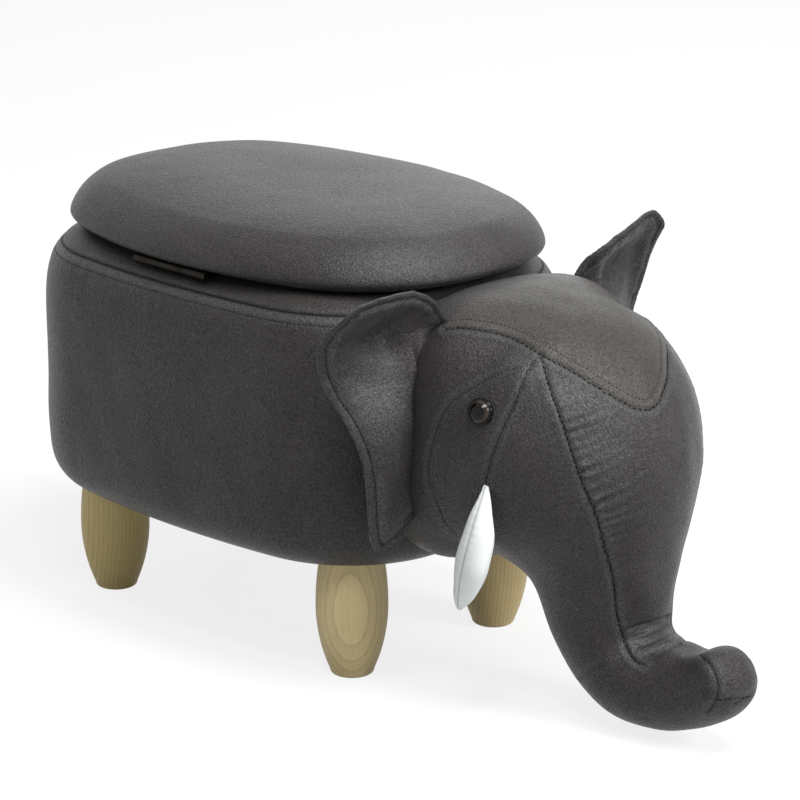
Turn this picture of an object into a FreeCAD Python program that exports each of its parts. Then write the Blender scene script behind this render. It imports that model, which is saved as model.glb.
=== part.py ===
"""An elephant storage stool: an upholstered box on turned legs, a padded lid on a side hinge, a stuffed head.

Millimetres, +Z up, +X towards the trunk. The origin lies on the floor under the middle of the whole stool.
Every piece is modelled about the middle of the box, then moved back by half of what the head adds.
"""
import FreeCAD, Part
import math
import os
import re
import Sketcher
from FreeCAD import Placement, Rotation, Vector

SIZES = {
    # Box, over its leather
    "body_length": 410.0,
    "body_width": 304.0,
    "body_height": 205.0,
    "foot_inset": 22.0,
    "shoulder_inset": 30.0,
    # Boards, foam, leather and linings of the box
    "base_board_inset": 26.0,
    "base_board_thickness": 12.0,
    "wall_inset": 30.0,
    "wall_thickness": 10.0,
    "rim_inset": 34.0,
    "rim_width": 20.0,
    "rim_thickness": 12.0,
    "dust_inset": 26.0,
    "cover_leather": 1.5,
    "rim_leather": 1.5,
    "lining_fabric": 1.0,
    "dust_fabric": 1.0,
    "soft_gap": 0.3,
    # Legs, and the bolts and nuts that hold them
    "leg_height": 95.0,
    "leg_end_inset": 68.0,
    "leg_side_inset": 75.0,
    "leg_belly_radius": 27.5,
    "leg_top_radius": 24.0,
    "leg_foot_radius": 17.0,
    "leg_belly_height": 55.0,
    "leg_foot_round": 4.0,
    "leg_bolt_radius": 4.0,
    "leg_bolt_bite": 32.0,
    "nut_wall": 1.5,
    "nut_flange_width": 6.0,
    "nut_flange": 1.6,
    "nut_barrel": 7.0,
    "fastener_gap": 0.05,
    # Wood screws of the box
    "screw_radius": 1.7,
    "screw_head_radius": 3.2,
    "screw_head": 2.2,
    "screw_bite": 18.0,
    "screw_edge": 4.0,
    # Lid
    "lid_end_inset": 3.0,
    "lid_side_inset": 13.0,
    "lid_height": 56.0,
    "lid_tuck": 24.0,
    "lid_board_inset": 28.0,
    "lid_board_thickness": 10.0,
    "lid_lining_inset": 26.0,
    "lid_gap": 0.5,
    # Hinge
    "hinge_length": 80.0,
    "hinge_inset": 20.0,
    "leaf_width": 33.0,
    "leaf_thickness": 1.5,
    "knuckle_radius": 3.0,
    "pin_radius": 1.5,
    "hinge_play": 0.3,
    "pin_play": 0.05,
    "hinge_screw_radius": 1.4,
    "hinge_screw_head_radius": 2.8,
    "hinge_screw_bite": 7.5,
    "hinge_screw_pitch": 27.0,
    "hinge_screw_inset": 27.0,
    # Head and trunk
    "trunk_reach": 254.0,
    "head_fall": 92.0,
    "head_width": 212.0,
    # Head board and its bolts
    "head_board_width": 96.0,
    "head_board_height": 100.0,
    "head_board_thickness": 9.0,
    "head_board_stand": 0.9,
    "head_bolt_spread": 52.0,
    "head_bolt_radius": 3.0,
    "head_bolt_head_radius": 6.5,
    "head_bolt_head": 4.0,
    # Ears
    "ear_length": 75.0,
    "ear_height": 200.0,
    "ear_thickness": 7.0,
    "ear_sweep": 30.0,
    # Tusks
    "tusk_drop": 97.0,
    "tusk_sweep": 20.0,
    "tusk_splay": 6.0,
    "tusk_bow": 8.0,
    "tusk_lead": 10.0,
    "tusk_width": 27.0,
    "tusk_thickness": 23.0,
    # Eyes
    "eye_radius": 10.0,
    "eye_rim": 2.0,
    "eye_dome": 6.0,
    "eye_shank_radius": 3.0,
    "eye_shank_length": 14.0,
    "eye_washer_radius": 9.0,
    "eye_washer": 1.5,
    "eye_washer_depth": 2.8,
    # How far a cutting tool runs past what it cuts
    "cut_overrun": 5.0,
}
# Sizes that follow others: lid, legs and hinge follow the box, what sits on the head follows the head
FOLLOWING = {
    "body_side_radius": "body_length^2 / body_width * 1.512",
    "body_end_radius": "body_width^2 / body_length * 4.79",
    "body_corner_radius": "body_width * 0.3684",
    "screw_side_x": "body_length * 0.17",
    "lid_length": "body_length - 2 * lid_end_inset",
    "lid_width": "body_width - 2 * lid_side_inset",
    "lid_side_radius": "lid_length^2 / lid_width * 0.8244",
    "lid_end_radius": "lid_width^2 / lid_length * 4.182",
    "lid_corner_radius": "lid_width * 0.4245",
    "leg_spread_x": "body_length - 2 * leg_end_inset",
    "leg_spread_y": "body_width - 2 * leg_side_inset",
    "hinge_reach": "body_width / 2 - hinge_inset",
    "head_height": "leg_height + body_height - head_fall",
    "trunk_seam_height": "head_height * 0.4425",
    "tip_seam_reach": "trunk_reach * 0.862",
    "head_board_lift": "head_height * 0.721",
    "ear_root": "head_width * 0.486",
    "ear_stand": "trunk_reach * 0.0866",
    "ear_lift": "head_height * 0.615",
    "tusk_reach": "trunk_reach * 0.352",
    "tusk_stand": "head_width * 0.452",
    "tusk_lift": "head_height * 0.9135",
    "eye_reach": "trunk_reach * 0.3386",
    "eye_lift": "head_height * 1.173",
}

# Up the side of the box: height as a share of the box, inset as a share of the foot's, then the shoulder's
FOOT_SHARES = [(0.0, 1.0), (0.035, 0.62), (0.10, 0.24), (0.22, 0.0)]
SHOULDER_SHARES = [(0.47, 0.0), (0.70, 0.0), (0.82, 0.10), (0.90, 0.28), (0.96, 0.58), (1.0, 1.0)]
# The same for the lid: inset as a share of the tuck, then of the half width
TUCK_SHARES = [(0.0, 1.0), (0.06, 0.62), (0.14, 0.24), (0.26, 0.0)]
CROWN_SHARES = [
    (0.42, 0.02), (0.58, 0.09), (0.70, 0.18), (0.80, 0.30), (0.90, 0.47), (0.965, 0.62), (1.0, 0.76),
]

# Rings of the head and trunk: reach, height, lean from upright in degrees, half height, half width.
# Reach is a share of the trunk's reach, height and half height of the head's height, half width of its width.
RING_SHARES = [
    (-0.165, 0.940, 0, 0.420, 0.430),
    (-0.035, 0.975, 0, 0.470, 0.472),
    (0.118, 0.995, 4, 0.500, 0.500),
    (0.268, 0.980, 18, 0.505, 0.492),
    (0.405, 0.882, 36, 0.468, 0.428),
    (0.461, 0.712, 56, 0.373, 0.346),
    (0.463, 0.555, 73, 0.285, 0.262),
    (0.470, 0.432, 82, 0.235, 0.227),
    (0.508, 0.304, 60, 0.206, 0.203),
    (0.574, 0.214, 30, 0.182, 0.188),
    (0.680, 0.182, 3, 0.168, 0.170),
    (0.795, 0.200, -15, 0.148, 0.148),
    (0.890, 0.245, -22, 0.125, 0.128),
    (0.955, 0.289, -24, 0.101, 0.110),
    (0.990, 0.304, -24, 0.067, 0.071),
]
# Strips of an ear, root to tip: reach, middle height and half height as shares of the ear's length and height
EAR_SHARES = [
    (-0.55, 0.62, 0.18),
    (0.0, 0.530, 0.440),
    (0.22, 0.500, 0.485),
    (0.42, 0.580, 0.405),
    (0.60, 0.710, 0.265),
    (0.76, 0.775, 0.170),
    (0.90, 0.805, 0.060),
]
# How far an ear's top leads its middle at the tip, for its height
EAR_LEAN_SHARE = 0.75
# Rings of a tusk, root to point: place along its drop, girth and bow as shares of its width and bow
TUSK_SHARES = [
    (0.0, 0.14, 0.0),
    (0.12, 0.44, 0.45),
    (0.35, 0.88, 0.92),
    (0.58, 1.0, 1.0),
    (0.80, 0.74, 0.66),
    (0.94, 0.40, 0.20),
    (1.0, 0.16, 0.0),
]

doc = FreeCAD.newDocument("storage_stool")
sheet = doc.addObject("Spreadsheet::Sheet", "Sizes")
CELLS = SIZES | {name: f"={total}" for name, total in FOLLOWING.items()}
for row, (name, value) in enumerate(CELLS.items(), 1):
    sheet.set(f"A{row}", name)
    sheet.set(f"B{row}", str(value))
    sheet.setAlias(f"B{row}", name)
doc.recompute()

# Levels and places that several pieces share, as sums of the sizes
SHIFT = "-trunk_reach / 2"
BODY_FRONT = "(body_length / 2)"
BOARD_LOW = "(leg_height + dust_fabric)"
BOARD_TOP = f"({BOARD_LOW} + base_board_thickness)"
RIM_TOP = "(leg_height + body_height)"
RIM_LOW = f"({RIM_TOP} - rim_thickness)"
LEATHER_TOP = f"({RIM_TOP} + rim_leather)"
LID_LOW = f"({LEATHER_TOP} + lid_gap)"
LID_BOARD_LOW = f"({LID_LOW} + lining_fabric)"
PIN_LEVEL = f"({LEATHER_TOP} + lid_gap / 2)"
WALL_INSIDE = "(wall_inset + wall_thickness)"
BOLT_LEVEL = "(head_board_lift + head_board_height / 2)"
BOARD_BACK = f"({BODY_FRONT} + head_board_stand)"
SAME = 1e-9
SIDES = (("left", 1), ("right", -1))
ENDS = (("front", 1), ("rear", -1))


def size(total):
    """The value of a sum of sizes, read from the sheet."""
    return float(sheet.evalExpression(total))


def bind(thing, where, total):
    """Ties one property to a sum of sizes."""
    thing.setExpression(where, re.sub(r"([a-z]\w*_\w+)", r"Sizes.\1", total))


def place(thing, x, y, z):
    """Ties where a piece stands, given about the middle of the box."""
    for axis, total in zip("xyz", (f"{SHIFT} + {x}", y, z)):
        bind(thing, f"Placement.Base.{axis}", total)


def new_body(label):
    body = doc.addObject("PartDesign::Body", label)
    place(body, "0", "0", "0")
    return body


def plane(body, role):
    return next(f for f in body.Origin.OriginFeatures if f.Role == role)


def new_sketch(body, role, offset):
    """An empty sketch on one of the body's own planes, moved along that plane's normal."""
    sketch = body.newObject("Sketcher::SketchObject", "Sketch")
    sketch.AttachmentSupport = [(plane(body, role), "")]
    sketch.MapMode = "FlatFace"
    bind(sketch, "AttachmentOffset.Base.z", offset)
    return sketch


def tie(sketch, kind, geometry, total):
    """A dimension of the sketch that follows a sum of sizes."""
    index = sketch.addConstraint(Sketcher.Constraint(kind, *geometry, size(total)))
    bind(sketch, f"Constraints[{index}]", total)


def tie_along(sketch, geometry, corner, kind, axis, total):
    """Holds a sketch point at a signed distance from one axis of the sketch."""
    if abs(size(total)) < SAME:
        sketch.addConstraint(Sketcher.Constraint("PointOnObject", geometry, corner, axis))
    elif size(total) > 0:
        tie(sketch, kind, (-1, 1, geometry, corner), total)
    else:
        tie(sketch, kind, (geometry, corner, -1, 1), f"-({total})")


def tie_point(sketch, geometry, corner, x, y):
    """Holds a sketch point at a place given as two sums."""
    tie_along(sketch, geometry, corner, "DistanceX", -2, x)
    tie_along(sketch, geometry, corner, "DistanceY", -1, y)


def oval(body, prefix, inset, level):
    """A sketch of the box's or the lid's oval: eight tangent arcs, drawn in by an inset."""
    sketch = new_sketch(body, "XY_Plane", level)
    radii = [f"{prefix}_{part}_radius - ({inset})" for part in ("end", "corner", "side")]
    end, corner, side = [size(radius) for radius in radii]
    end_out = f"{prefix}_end_radius - {prefix}_length / 2"
    side_out = f"{prefix}_side_radius - {prefix}_width / 2"
    end_x, side_y = size(end_out), size(side_out)
    apart = math.hypot(end_x, side_y)
    along = ((side - corner) ** 2 - (end - corner) ** 2 + apart ** 2) / (2 * apart)
    across = math.sqrt((side - corner) ** 2 - along ** 2)
    corner_x = (side_y * across - end_x * along) / apart
    corner_y = (side_y * along + end_x * across) / apart - side_y
    low = math.atan2(corner_y, corner_x + end_x)
    high = math.atan2(corner_y + side_y, corner_x)
    half = math.pi
    arcs = [
        (-end_x, 0, end, -low, low),
        (corner_x, corner_y, corner, low, high),
        (0, -side_y, side, high, half - high),
        (-corner_x, corner_y, corner, half - high, half - low),
        (end_x, 0, end, half - low, half + low),
        (-corner_x, -corner_y, corner, half + low, half + high),
        (0, side_y, side, half + high, 2 * half - high),
        (corner_x, -corner_y, corner, 2 * half - high, 2 * half - low),
    ]
    for x, y, radius, start, stop in arcs:
        circle = Part.Circle(Vector(x, y, 0), Vector(0, 0, 1), radius)
        sketch.addGeometry(Part.ArcOfCircle(circle, start, stop), False)
    for index in range(8):
        sketch.addConstraint(Sketcher.Constraint("Tangent", index, 2, (index + 1) % 8, 1))
    for first, second in ((0, 4), (2, 6), (1, 3), (1, 5), (1, 7)):
        sketch.addConstraint(Sketcher.Constraint("Equal", first, second))
    for index, axis in ((0, -1), (4, -1), (2, -2), (6, -2)):
        sketch.addConstraint(Sketcher.Constraint("PointOnObject", index, 3, axis))
    for index, radius in enumerate(radii):
        tie(sketch, "Radius", (index,), radius)
    tie(sketch, "DistanceX", (0, 3, -1, 1), end_out)
    tie(sketch, "DistanceX", (-1, 1, 4, 3), end_out)
    tie(sketch, "DistanceY", (2, 3, -1, 1), side_out)
    tie(sketch, "DistanceY", (-1, 1, 6, 3), side_out)
    return sketch


def outline(sketch, points):
    """A closed outline. A point with a third sum is reached by an arc whose centre has that height."""
    spots = [(size(point[0]), size(point[1])) for point in points]
    ends = []
    for index, point in enumerate(points):
        (x0, y0), (x1, y1) = spots[index - 1], spots[index]
        if len(point) == 2:
            sketch.addGeometry(Part.LineSegment(Vector(x0, y0, 0), Vector(x1, y1, 0)), False)
            ends.append((1, 2))
            continue
        level = size(point[2])
        centre = ((x1 ** 2 - x0 ** 2) + (y1 - level) ** 2 - (y0 - level) ** 2) / (2 * (x1 - x0))
        circle = Part.Circle(Vector(centre, level, 0), Vector(0, 0, 1), math.hypot(x0 - centre, y0 - level))
        start = math.atan2(y0 - level, x0 - centre)
        stop = math.atan2(y1 - level, x1 - centre)
        forward = (stop - start) % (2 * math.pi) < math.pi
        turn = (start, stop) if forward else (stop, start)
        sketch.addGeometry(Part.ArcOfCircle(circle, *turn), False)
        ends.append((1, 2) if forward else (2, 1))
    for index, point in enumerate(points):
        after = (index + 1) % len(points)
        sketch.addConstraint(Sketcher.Constraint("Coincident", index, ends[index][1], after, ends[after][0]))
        tie_point(sketch, index, ends[index][1], *point[:2])
        if len(point) == 3:
            tie_along(sketch, index, 3, "DistanceY", -1, point[2])


def feature(body, kind, profile):
    made = body.newObject(f"PartDesign::{kind}", kind)
    made.Profile = profile
    return made


def pad(body, profile, length):
    bind(feature(body, "Pad", profile), "Length", length)


def pocket(body, profile, depth, along_normal):
    made = feature(body, "Pocket", profile)
    made.Reversed = along_normal
    bind(made, "Length", depth)


def loft(body, kind, profiles):
    made = feature(body, kind, profiles[0])
    made.Sections = profiles[1:]


def hole(body, places, radius, level, depth, upward):
    """Round holes at several places, from a level up or down."""
    sketch = new_sketch(body, "XY_Plane", level)
    for index, (x, y) in enumerate(places):
        centre = Vector(size(x), size(y), 0)
        sketch.addGeometry(Part.Circle(centre, Vector(0, 0, 1), size(radius)), False)
        tie(sketch, "Radius", (index,), radius)
        tie_point(sketch, index, 3, x, y)
    pocket(body, sketch, depth, upward)


def front_hole(body, radius, depth):
    """The holes for the bolts of the head, from the middle of the box forwards."""
    sketch = new_sketch(body, "YZ_Plane", "0")
    for index, (name, side) in enumerate(SIDES):
        y = f"{side} * head_bolt_spread / 2"
        centre = Vector(size(y), size(BOLT_LEVEL), 0)
        sketch.addGeometry(Part.Circle(centre, Vector(0, 0, 1), size(radius)), False)
        tie(sketch, "Radius", (index,), radius)
        tie_point(sketch, index, 3, y, BOLT_LEVEL)
    pocket(body, sketch, depth, True)


def plate(label, prefix, inset, level, thickness):
    body = new_body(label)
    pad(body, oval(body, prefix, inset, level), thickness)
    return body


def ring(label, outer, inner, level, thickness):
    body = plate(label, "body", outer, level, thickness)
    pocket(body, oval(body, "body", inner, level), f"{thickness} + cut_overrun", True)
    return body


def turned(label, points, x, y, z, axis=Vector(0, 0, 1)):
    """A piece turned about its own upright axis, then stood along another one."""
    body = doc.addObject("PartDesign::Body", label)
    sketch = new_sketch(body, "XZ_Plane", "0")
    outline(sketch, points)
    feature(body, "Revolution", sketch).ReferenceAxis = (sketch, ["V_Axis"])
    body.Placement.Rotation = Rotation(Vector(0, 0, 1), axis)
    place(body, x, y, z)
    return body


def group(label, bodies):
    made = doc.addObject("Part::Compound", label)
    made.Links = bodies
    return made


def box_profile(body, extra):
    """The ovals up the side of the box, drawn in by an extra inset."""
    shares = [(level, f"foot_inset * {inset} + {extra}") for level, inset in FOOT_SHARES]
    shares += [(level, f"shoulder_inset * {inset} + {extra}") for level, inset in SHOULDER_SHARES]
    return [oval(body, "body", inset, f"leg_height + body_height * {level}") for level, inset in shares]


def lid_profile(body, extra, low, fall):
    """The ovals up the lid from a level, drawn in and lowered for what lies under the leather."""
    shares = [(level, f"lid_tuck * {inset} + {extra}") for level, inset in TUCK_SHARES]
    shares += [(level, f"lid_width / 2 * {inset} + {extra}") for level, inset in CROWN_SHARES]
    rise = f"({LID_LOW} + lid_height - {fall} - {low})"
    return [oval(body, "lid", inset, f"{low} + {rise} * {level}") for level, inset in shares]


def leaf_room(body, level):
    """Room for a leaf of the hinge, from a level upwards."""
    sketch = new_sketch(body, "XY_Plane", level)
    half = "(hinge_length / 2 + hinge_play)"
    near = "-(hinge_reach - leaf_width - hinge_play)"
    far = "-(hinge_reach + cut_overrun)"
    outline(sketch, [(f"-{half}", far), (half, far), (half, near), (f"-{half}", near)])
    pocket(body, sketch, "leaf_thickness", True)


# Base board, dust cover and the places of what goes through them
LEGS = [
    (f"{end}_{side}", f"{a} * leg_spread_x / 2", f"{b} * leg_spread_y / 2")
    for end, a in ENDS
    for side, b in SIDES
]
LEG_PLACES = [(x, y) for name, x, y in LEGS]


def screw_places(inset):
    """Six places round the box at one inset: two on each side and one at each end."""
    side = f"(sqrt((body_side_radius - {inset})^2 - screw_side_x^2) - body_side_radius + body_width / 2)"
    places = [(f"{a} * screw_side_x", f"{b} * {side}") for a in (1, -1) for b in (1, -1)]
    return places + [(f"{a} * (body_length / 2 - {inset})", "0") for a in (1, -1)]


BASE_SCREW_PLACES = screw_places("(wall_inset + wall_thickness / 2)")
RIM_SCREW_PLACES = screw_places("(rim_inset + screw_edge)")
SCREW_HOLE = "(screw_radius + fastener_gap)"
SCREW_HEAD_HOLE = "(screw_head_radius + fastener_gap)"
NUT_RADIUS = "(leg_bolt_radius + nut_wall + fastener_gap)"
NUT_FLANGE_RADIUS = f"({NUT_RADIUS} + nut_flange_width)"

BOARD_THROUGH = "base_board_thickness + cut_overrun"

base_board = plate("base_board", "body", "base_board_inset", BOARD_LOW, "base_board_thickness")
hole(base_board, LEG_PLACES, f"{NUT_RADIUS} + fastener_gap", BOARD_LOW, BOARD_THROUGH, True)
hole(base_board, LEG_PLACES, f"{NUT_FLANGE_RADIUS} + fastener_gap", BOARD_TOP, "nut_flange", False)
hole(base_board, BASE_SCREW_PLACES, SCREW_HOLE, BOARD_LOW, BOARD_THROUGH, True)
hole(base_board, BASE_SCREW_PLACES, SCREW_HEAD_HOLE, BOARD_LOW, "screw_head", True)

dust_cover = plate("dust_cover", "body", "dust_inset", "leg_height", "dust_fabric")
dust_through = "dust_fabric + cut_overrun"
hole(dust_cover, LEG_PLACES, "leg_bolt_radius + fastener_gap", "leg_height", dust_through, True)

# Wall, rim, lining and foam of the box
WALL_HEIGHT = f"({RIM_LOW} - {BOARD_TOP})"
HEAD_NUT_RADIUS = "(head_bolt_radius + nut_wall + fastener_gap)"
HEAD_FLANGE_RADIUS = f"({HEAD_NUT_RADIUS} + nut_flange_width)"
HEAD_BOLT_HOLE = "(head_bolt_radius + fastener_gap)"
NUT_FACE = f"({BODY_FRONT} - {WALL_INSIDE})"

wall_panel = ring("wall_panel", "wall_inset", WALL_INSIDE, BOARD_TOP, WALL_HEIGHT)
hole(wall_panel, BASE_SCREW_PLACES, SCREW_HOLE, BOARD_TOP, "screw_bite + fastener_gap", True)
hole(wall_panel, RIM_SCREW_PLACES, SCREW_HOLE, RIM_LOW, "screw_bite + fastener_gap", False)
front_hole(wall_panel, f"{HEAD_NUT_RADIUS} + fastener_gap", BODY_FRONT)
front_hole(wall_panel, f"{HEAD_FLANGE_RADIUS} + fastener_gap", f"{NUT_FACE} + nut_flange")

top_rim = ring("top_rim", "rim_inset", "(rim_inset + rim_width)", RIM_LOW, "rim_thickness")
hole(top_rim, RIM_SCREW_PLACES, SCREW_HOLE, RIM_LOW, "rim_thickness + cut_overrun", True)
hole(top_rim, RIM_SCREW_PLACES, SCREW_HEAD_HOLE, RIM_TOP, "screw_head", False)

rim_cover = ring("rim_cover", "shoulder_inset", "(rim_inset + rim_width)", RIM_TOP, "rim_leather")

lining_inset = f"({WALL_INSIDE} + soft_gap)"
lining_floor = f"{BOARD_TOP} + lining_fabric"
storage_lining = plate("storage_lining", "body", lining_inset, BOARD_TOP, f"({WALL_HEIGHT} - soft_gap)")
lining_room = oval(storage_lining, "body", f"{lining_inset} + lining_fabric", lining_floor)
pocket(storage_lining, lining_room, WALL_HEIGHT, True)

wall_foam = new_body("wall_foam")
loft(wall_foam, "AdditiveLoft", box_profile(wall_foam, "cover_leather + soft_gap"))
for inset, level, depth in (
    ("base_board_inset", "leg_height", f"{BOARD_TOP} - leg_height + soft_gap"),
    ("wall_inset", BOARD_TOP, f"{WALL_HEIGHT} + soft_gap"),
    ("rim_inset", RIM_LOW, "rim_thickness + cut_overrun"),
):
    pocket(wall_foam, oval(wall_foam, "body", f"{inset} - soft_gap", level), depth, True)
front_hole(wall_foam, HEAD_BOLT_HOLE, BODY_FRONT)

body_cover = new_body("body_cover")
loft(body_cover, "AdditiveLoft", box_profile(body_cover, "0"))
loft(body_cover, "SubtractiveLoft", box_profile(body_cover, "cover_leather"))
front_hole(body_cover, HEAD_BOLT_HOLE, f"{BODY_FRONT} + cut_overrun")

# Legs, their bolts and nuts
LEG_BORE = "(leg_bolt_radius + fastener_gap)"
BORE_END = "(leg_height - leg_bolt_bite - fastener_gap)"
LEG_POINTS = [
    ("0", "0"),
    ("leg_foot_radius - leg_foot_round", "0"),
    ("leg_foot_radius", "leg_foot_round", "leg_foot_round"),
    ("leg_belly_radius", "leg_belly_height", "leg_belly_height"),
    ("leg_top_radius", "leg_height", "leg_belly_height"),
    (LEG_BORE, "leg_height"),
    (LEG_BORE, BORE_END),
    ("0", BORE_END),
]
legs = [turned(f"leg_{name}", LEG_POINTS, x, y, "0") for name, x, y in LEGS]


def rod(radius, length):
    return [("0", "0"), (radius, "0"), (radius, length), ("0", length)]


def nut(bore, barrel, flange):
    """A flanged nut, flange at the start and barrel after it."""
    full = "(nut_flange + nut_barrel)"
    return [
        (bore, "0"),
        (flange, "0"),
        (flange, "nut_flange"),
        (barrel, "nut_flange"),
        (barrel, full),
        (bore, full),
    ]


def screw(head_radius, head, radius, length):
    """A screw from the face of its head to its point."""
    return [
        ("0", "0"),
        (head_radius, "0"),
        (head_radius, head),
        (radius, head),
        (radius, f"{length} - 2 * {radius}"),
        ("0", length),
    ]


DOWN = Vector(0, 0, -1)
FORWARD = Vector(1, 0, 0)
BACK = Vector(-1, 0, 0)
bolt_length = "leg_bolt_bite + dust_fabric + base_board_thickness - nut_flange"
leg_bolt = rod("leg_bolt_radius", bolt_length)
bolt_low = "leg_height - leg_bolt_bite"
leg_bolts = group("leg_bolts", [turned("leg_bolt", leg_bolt, x, y, bolt_low) for x, y in LEG_PLACES])
leg_nut = nut(LEG_BORE, NUT_RADIUS, NUT_FLANGE_RADIUS)
leg_t_nuts = group("leg_t_nuts", [turned("leg_nut", leg_nut, x, y, BOARD_TOP, DOWN) for x, y in LEG_PLACES])

# Screws of the box
base_screw = screw("screw_head_radius", "screw_head", "screw_radius", "(base_board_thickness + screw_bite)")
base_screws = group("base_screws", [
    turned("base_screw", base_screw, x, y, BOARD_LOW) for x, y in BASE_SCREW_PLACES
])
rim_screw = screw("screw_head_radius", "screw_head", "screw_radius", "(rim_thickness + screw_bite)")
rim_screws = group("rim_screws", [
    turned("rim_screw", rim_screw, x, y, RIM_TOP, DOWN) for x, y in RIM_SCREW_PLACES
])

# Lid
lid_lining = plate("lid_lining", "lid", "lid_lining_inset", LID_LOW, "lining_fabric")
lid_board = plate("lid_board", "lid", "lid_board_inset", LID_BOARD_LOW, "lid_board_thickness")
lid_foam = new_body("lid_foam")
under_leather = "(cover_leather + soft_gap)"
loft(lid_foam, "AdditiveLoft", lid_profile(lid_foam, under_leather, LID_LOW, under_leather))
pocket(lid_foam, oval(lid_foam, "lid", "0", LID_LOW), "lining_fabric + soft_gap", True)
lid_board_room = oval(lid_foam, "lid", "lid_board_inset - soft_gap", LID_BOARD_LOW)
pocket(lid_foam, lid_board_room, "lid_board_thickness + soft_gap", True)
lid_cover = new_body("lid_cover")
loft(lid_cover, "AdditiveLoft", lid_profile(lid_cover, "0", LID_LOW, "0"))
loft(lid_cover, "SubtractiveLoft", lid_profile(lid_cover, "cover_leather", LID_LOW, "cover_leather"))

# Hinge
LEAF_LOW = f"({LEATHER_TOP} - leaf_thickness)"
HINGE_PLACES = [(f"{k} * hinge_screw_pitch", "-(hinge_reach - hinge_screw_inset)") for k in (-1, 0, 1)]
HINGE_HOLE = "(hinge_screw_radius + fastener_gap)"
HINGE_HEAD_HOLE = "(hinge_screw_head_radius + fastener_gap)"
for body in (lid_lining, lid_board, lid_foam, lid_cover):
    leaf_room(body, LID_LOW)
for body in (rim_cover, top_rim):
    leaf_room(body, LEAF_LOW)
hinge_bite = "leaf_thickness + hinge_screw_bite + fastener_gap"
hole(top_rim, HINGE_PLACES, HINGE_HOLE, LEATHER_TOP, hinge_bite, False)
hole(lid_board, HINGE_PLACES, HINGE_HOLE, LID_LOW, hinge_bite, True)


def pin_circle(body, radius, start):
    """A circle about the hinge's axis, in a plane across it."""
    sketch = new_sketch(body, "YZ_Plane", start)
    centre = Vector(-size("hinge_reach"), size(PIN_LEVEL), 0)
    sketch.addGeometry(Part.Circle(centre, Vector(0, 0, 1), size(radius)), False)
    tie(sketch, "Radius", (0,), radius)
    tie_point(sketch, 0, 3, "-hinge_reach", PIN_LEVEL)
    return sketch


def leaf(label, low, spans, low_radius, high_radius):
    """A leaf of the hinge: plate, knuckles with the tongues that carry them, bore and countersunk holes."""
    body = new_body(label)
    edge = "-(hinge_reach - knuckle_radius - hinge_play)"
    inner = "-(hinge_reach - leaf_width)"
    strips = [("-hinge_length / 2", "hinge_length / 2", edge, inner)]
    strips += [(start, stop, "-hinge_reach", edge) for start, stop in spans]
    for start, stop, near, far in strips:
        sketch = new_sketch(body, "XY_Plane", low)
        outline(sketch, [(start, near), (stop, near), (stop, far), (start, far)])
        pad(body, sketch, "leaf_thickness")
    for start, stop in spans:
        pad(body, pin_circle(body, "knuckle_radius", start), f"({stop}) - ({start})")
    bore = pin_circle(body, "pin_radius + pin_play", "-hinge_length / 2 - cut_overrun")
    pocket(body, bore, "hinge_length + 2 * cut_overrun", True)
    for x, y in HINGE_PLACES:
        cone = body.newObject("PartDesign::SubtractiveCone", "Countersink")
        cone.AttachmentSupport = [(plane(body, "XY_Plane"), "")]
        cone.MapMode = "FlatFace"
        for where, total in (
            ("AttachmentOffset.Base.x", x),
            ("AttachmentOffset.Base.y", y),
            ("AttachmentOffset.Base.z", low),
            ("Radius1", low_radius),
            ("Radius2", high_radius),
            ("Height", "leaf_thickness"),
        ):
            bind(cone, where, total)
    return body


THIRD = "hinge_length / 6"
OUTER_SPANS = [
    ("-hinge_length / 2", f"-{THIRD} - hinge_play / 2"),
    (f"{THIRD} + hinge_play / 2", "hinge_length / 2"),
]
MIDDLE_SPAN = [(f"-{THIRD} + hinge_play / 2", f"{THIRD} - hinge_play / 2")]
hinge_fixed_leaf = leaf("hinge_fixed_leaf", LEAF_LOW, OUTER_SPANS, HINGE_HOLE, HINGE_HEAD_HOLE)
hinge_lid_leaf = leaf("hinge_lid_leaf", LID_LOW, MIDDLE_SPAN, HINGE_HEAD_HOLE, HINGE_HOLE)
hinge_pin = new_body("hinge_pin")
pad(hinge_pin, pin_circle(hinge_pin, "pin_radius", "-hinge_length / 2"), "hinge_length")
hinge_screw = [
    ("0", "0"),
    ("hinge_screw_head_radius", "0"),
    ("hinge_screw_radius", "leaf_thickness"),
    ("hinge_screw_radius", "leaf_thickness + hinge_screw_bite - 2 * hinge_screw_radius"),
    ("0", "leaf_thickness + hinge_screw_bite"),
]
hinge_fixed_screws = group("hinge_fixed_screws", [
    turned("fixed_screw", hinge_screw, x, y, LEATHER_TOP, DOWN) for x, y in HINGE_PLACES
])
hinge_lid_screws = group("hinge_lid_screws", [
    turned("lid_screw", hinge_screw, x, y, LID_LOW) for x, y in HINGE_PLACES
])

# Head board with its bolts and nuts
head_board = new_body("head_board")
board_sketch = new_sketch(head_board, "YZ_Plane", BOARD_BACK)
half_board = "head_board_width / 2"
board_high = "head_board_lift + head_board_height"
outline(board_sketch, [
    (f"-{half_board}", "head_board_lift"),
    (half_board, "head_board_lift"),
    (half_board, board_high),
    (f"-{half_board}", board_high),
])
pad(head_board, board_sketch, "head_board_thickness")
front_hole(head_board, HEAD_BOLT_HOLE, f"{BOARD_BACK} + head_board_thickness + cut_overrun")
BOLT_FACE = f"({BOARD_BACK} + head_board_thickness)"
shank = f"{BOLT_FACE} - {NUT_FACE} - nut_flange"
head_bolt = [
    ("0", "-head_bolt_head"),
    ("head_bolt_head_radius", "-head_bolt_head"),
    ("head_bolt_head_radius", "0"),
    ("head_bolt_radius", "0"),
    ("head_bolt_radius", shank),
    ("0", shank),
]
head_nut = nut(HEAD_BOLT_HOLE, HEAD_NUT_RADIUS, HEAD_FLANGE_RADIUS)
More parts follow.
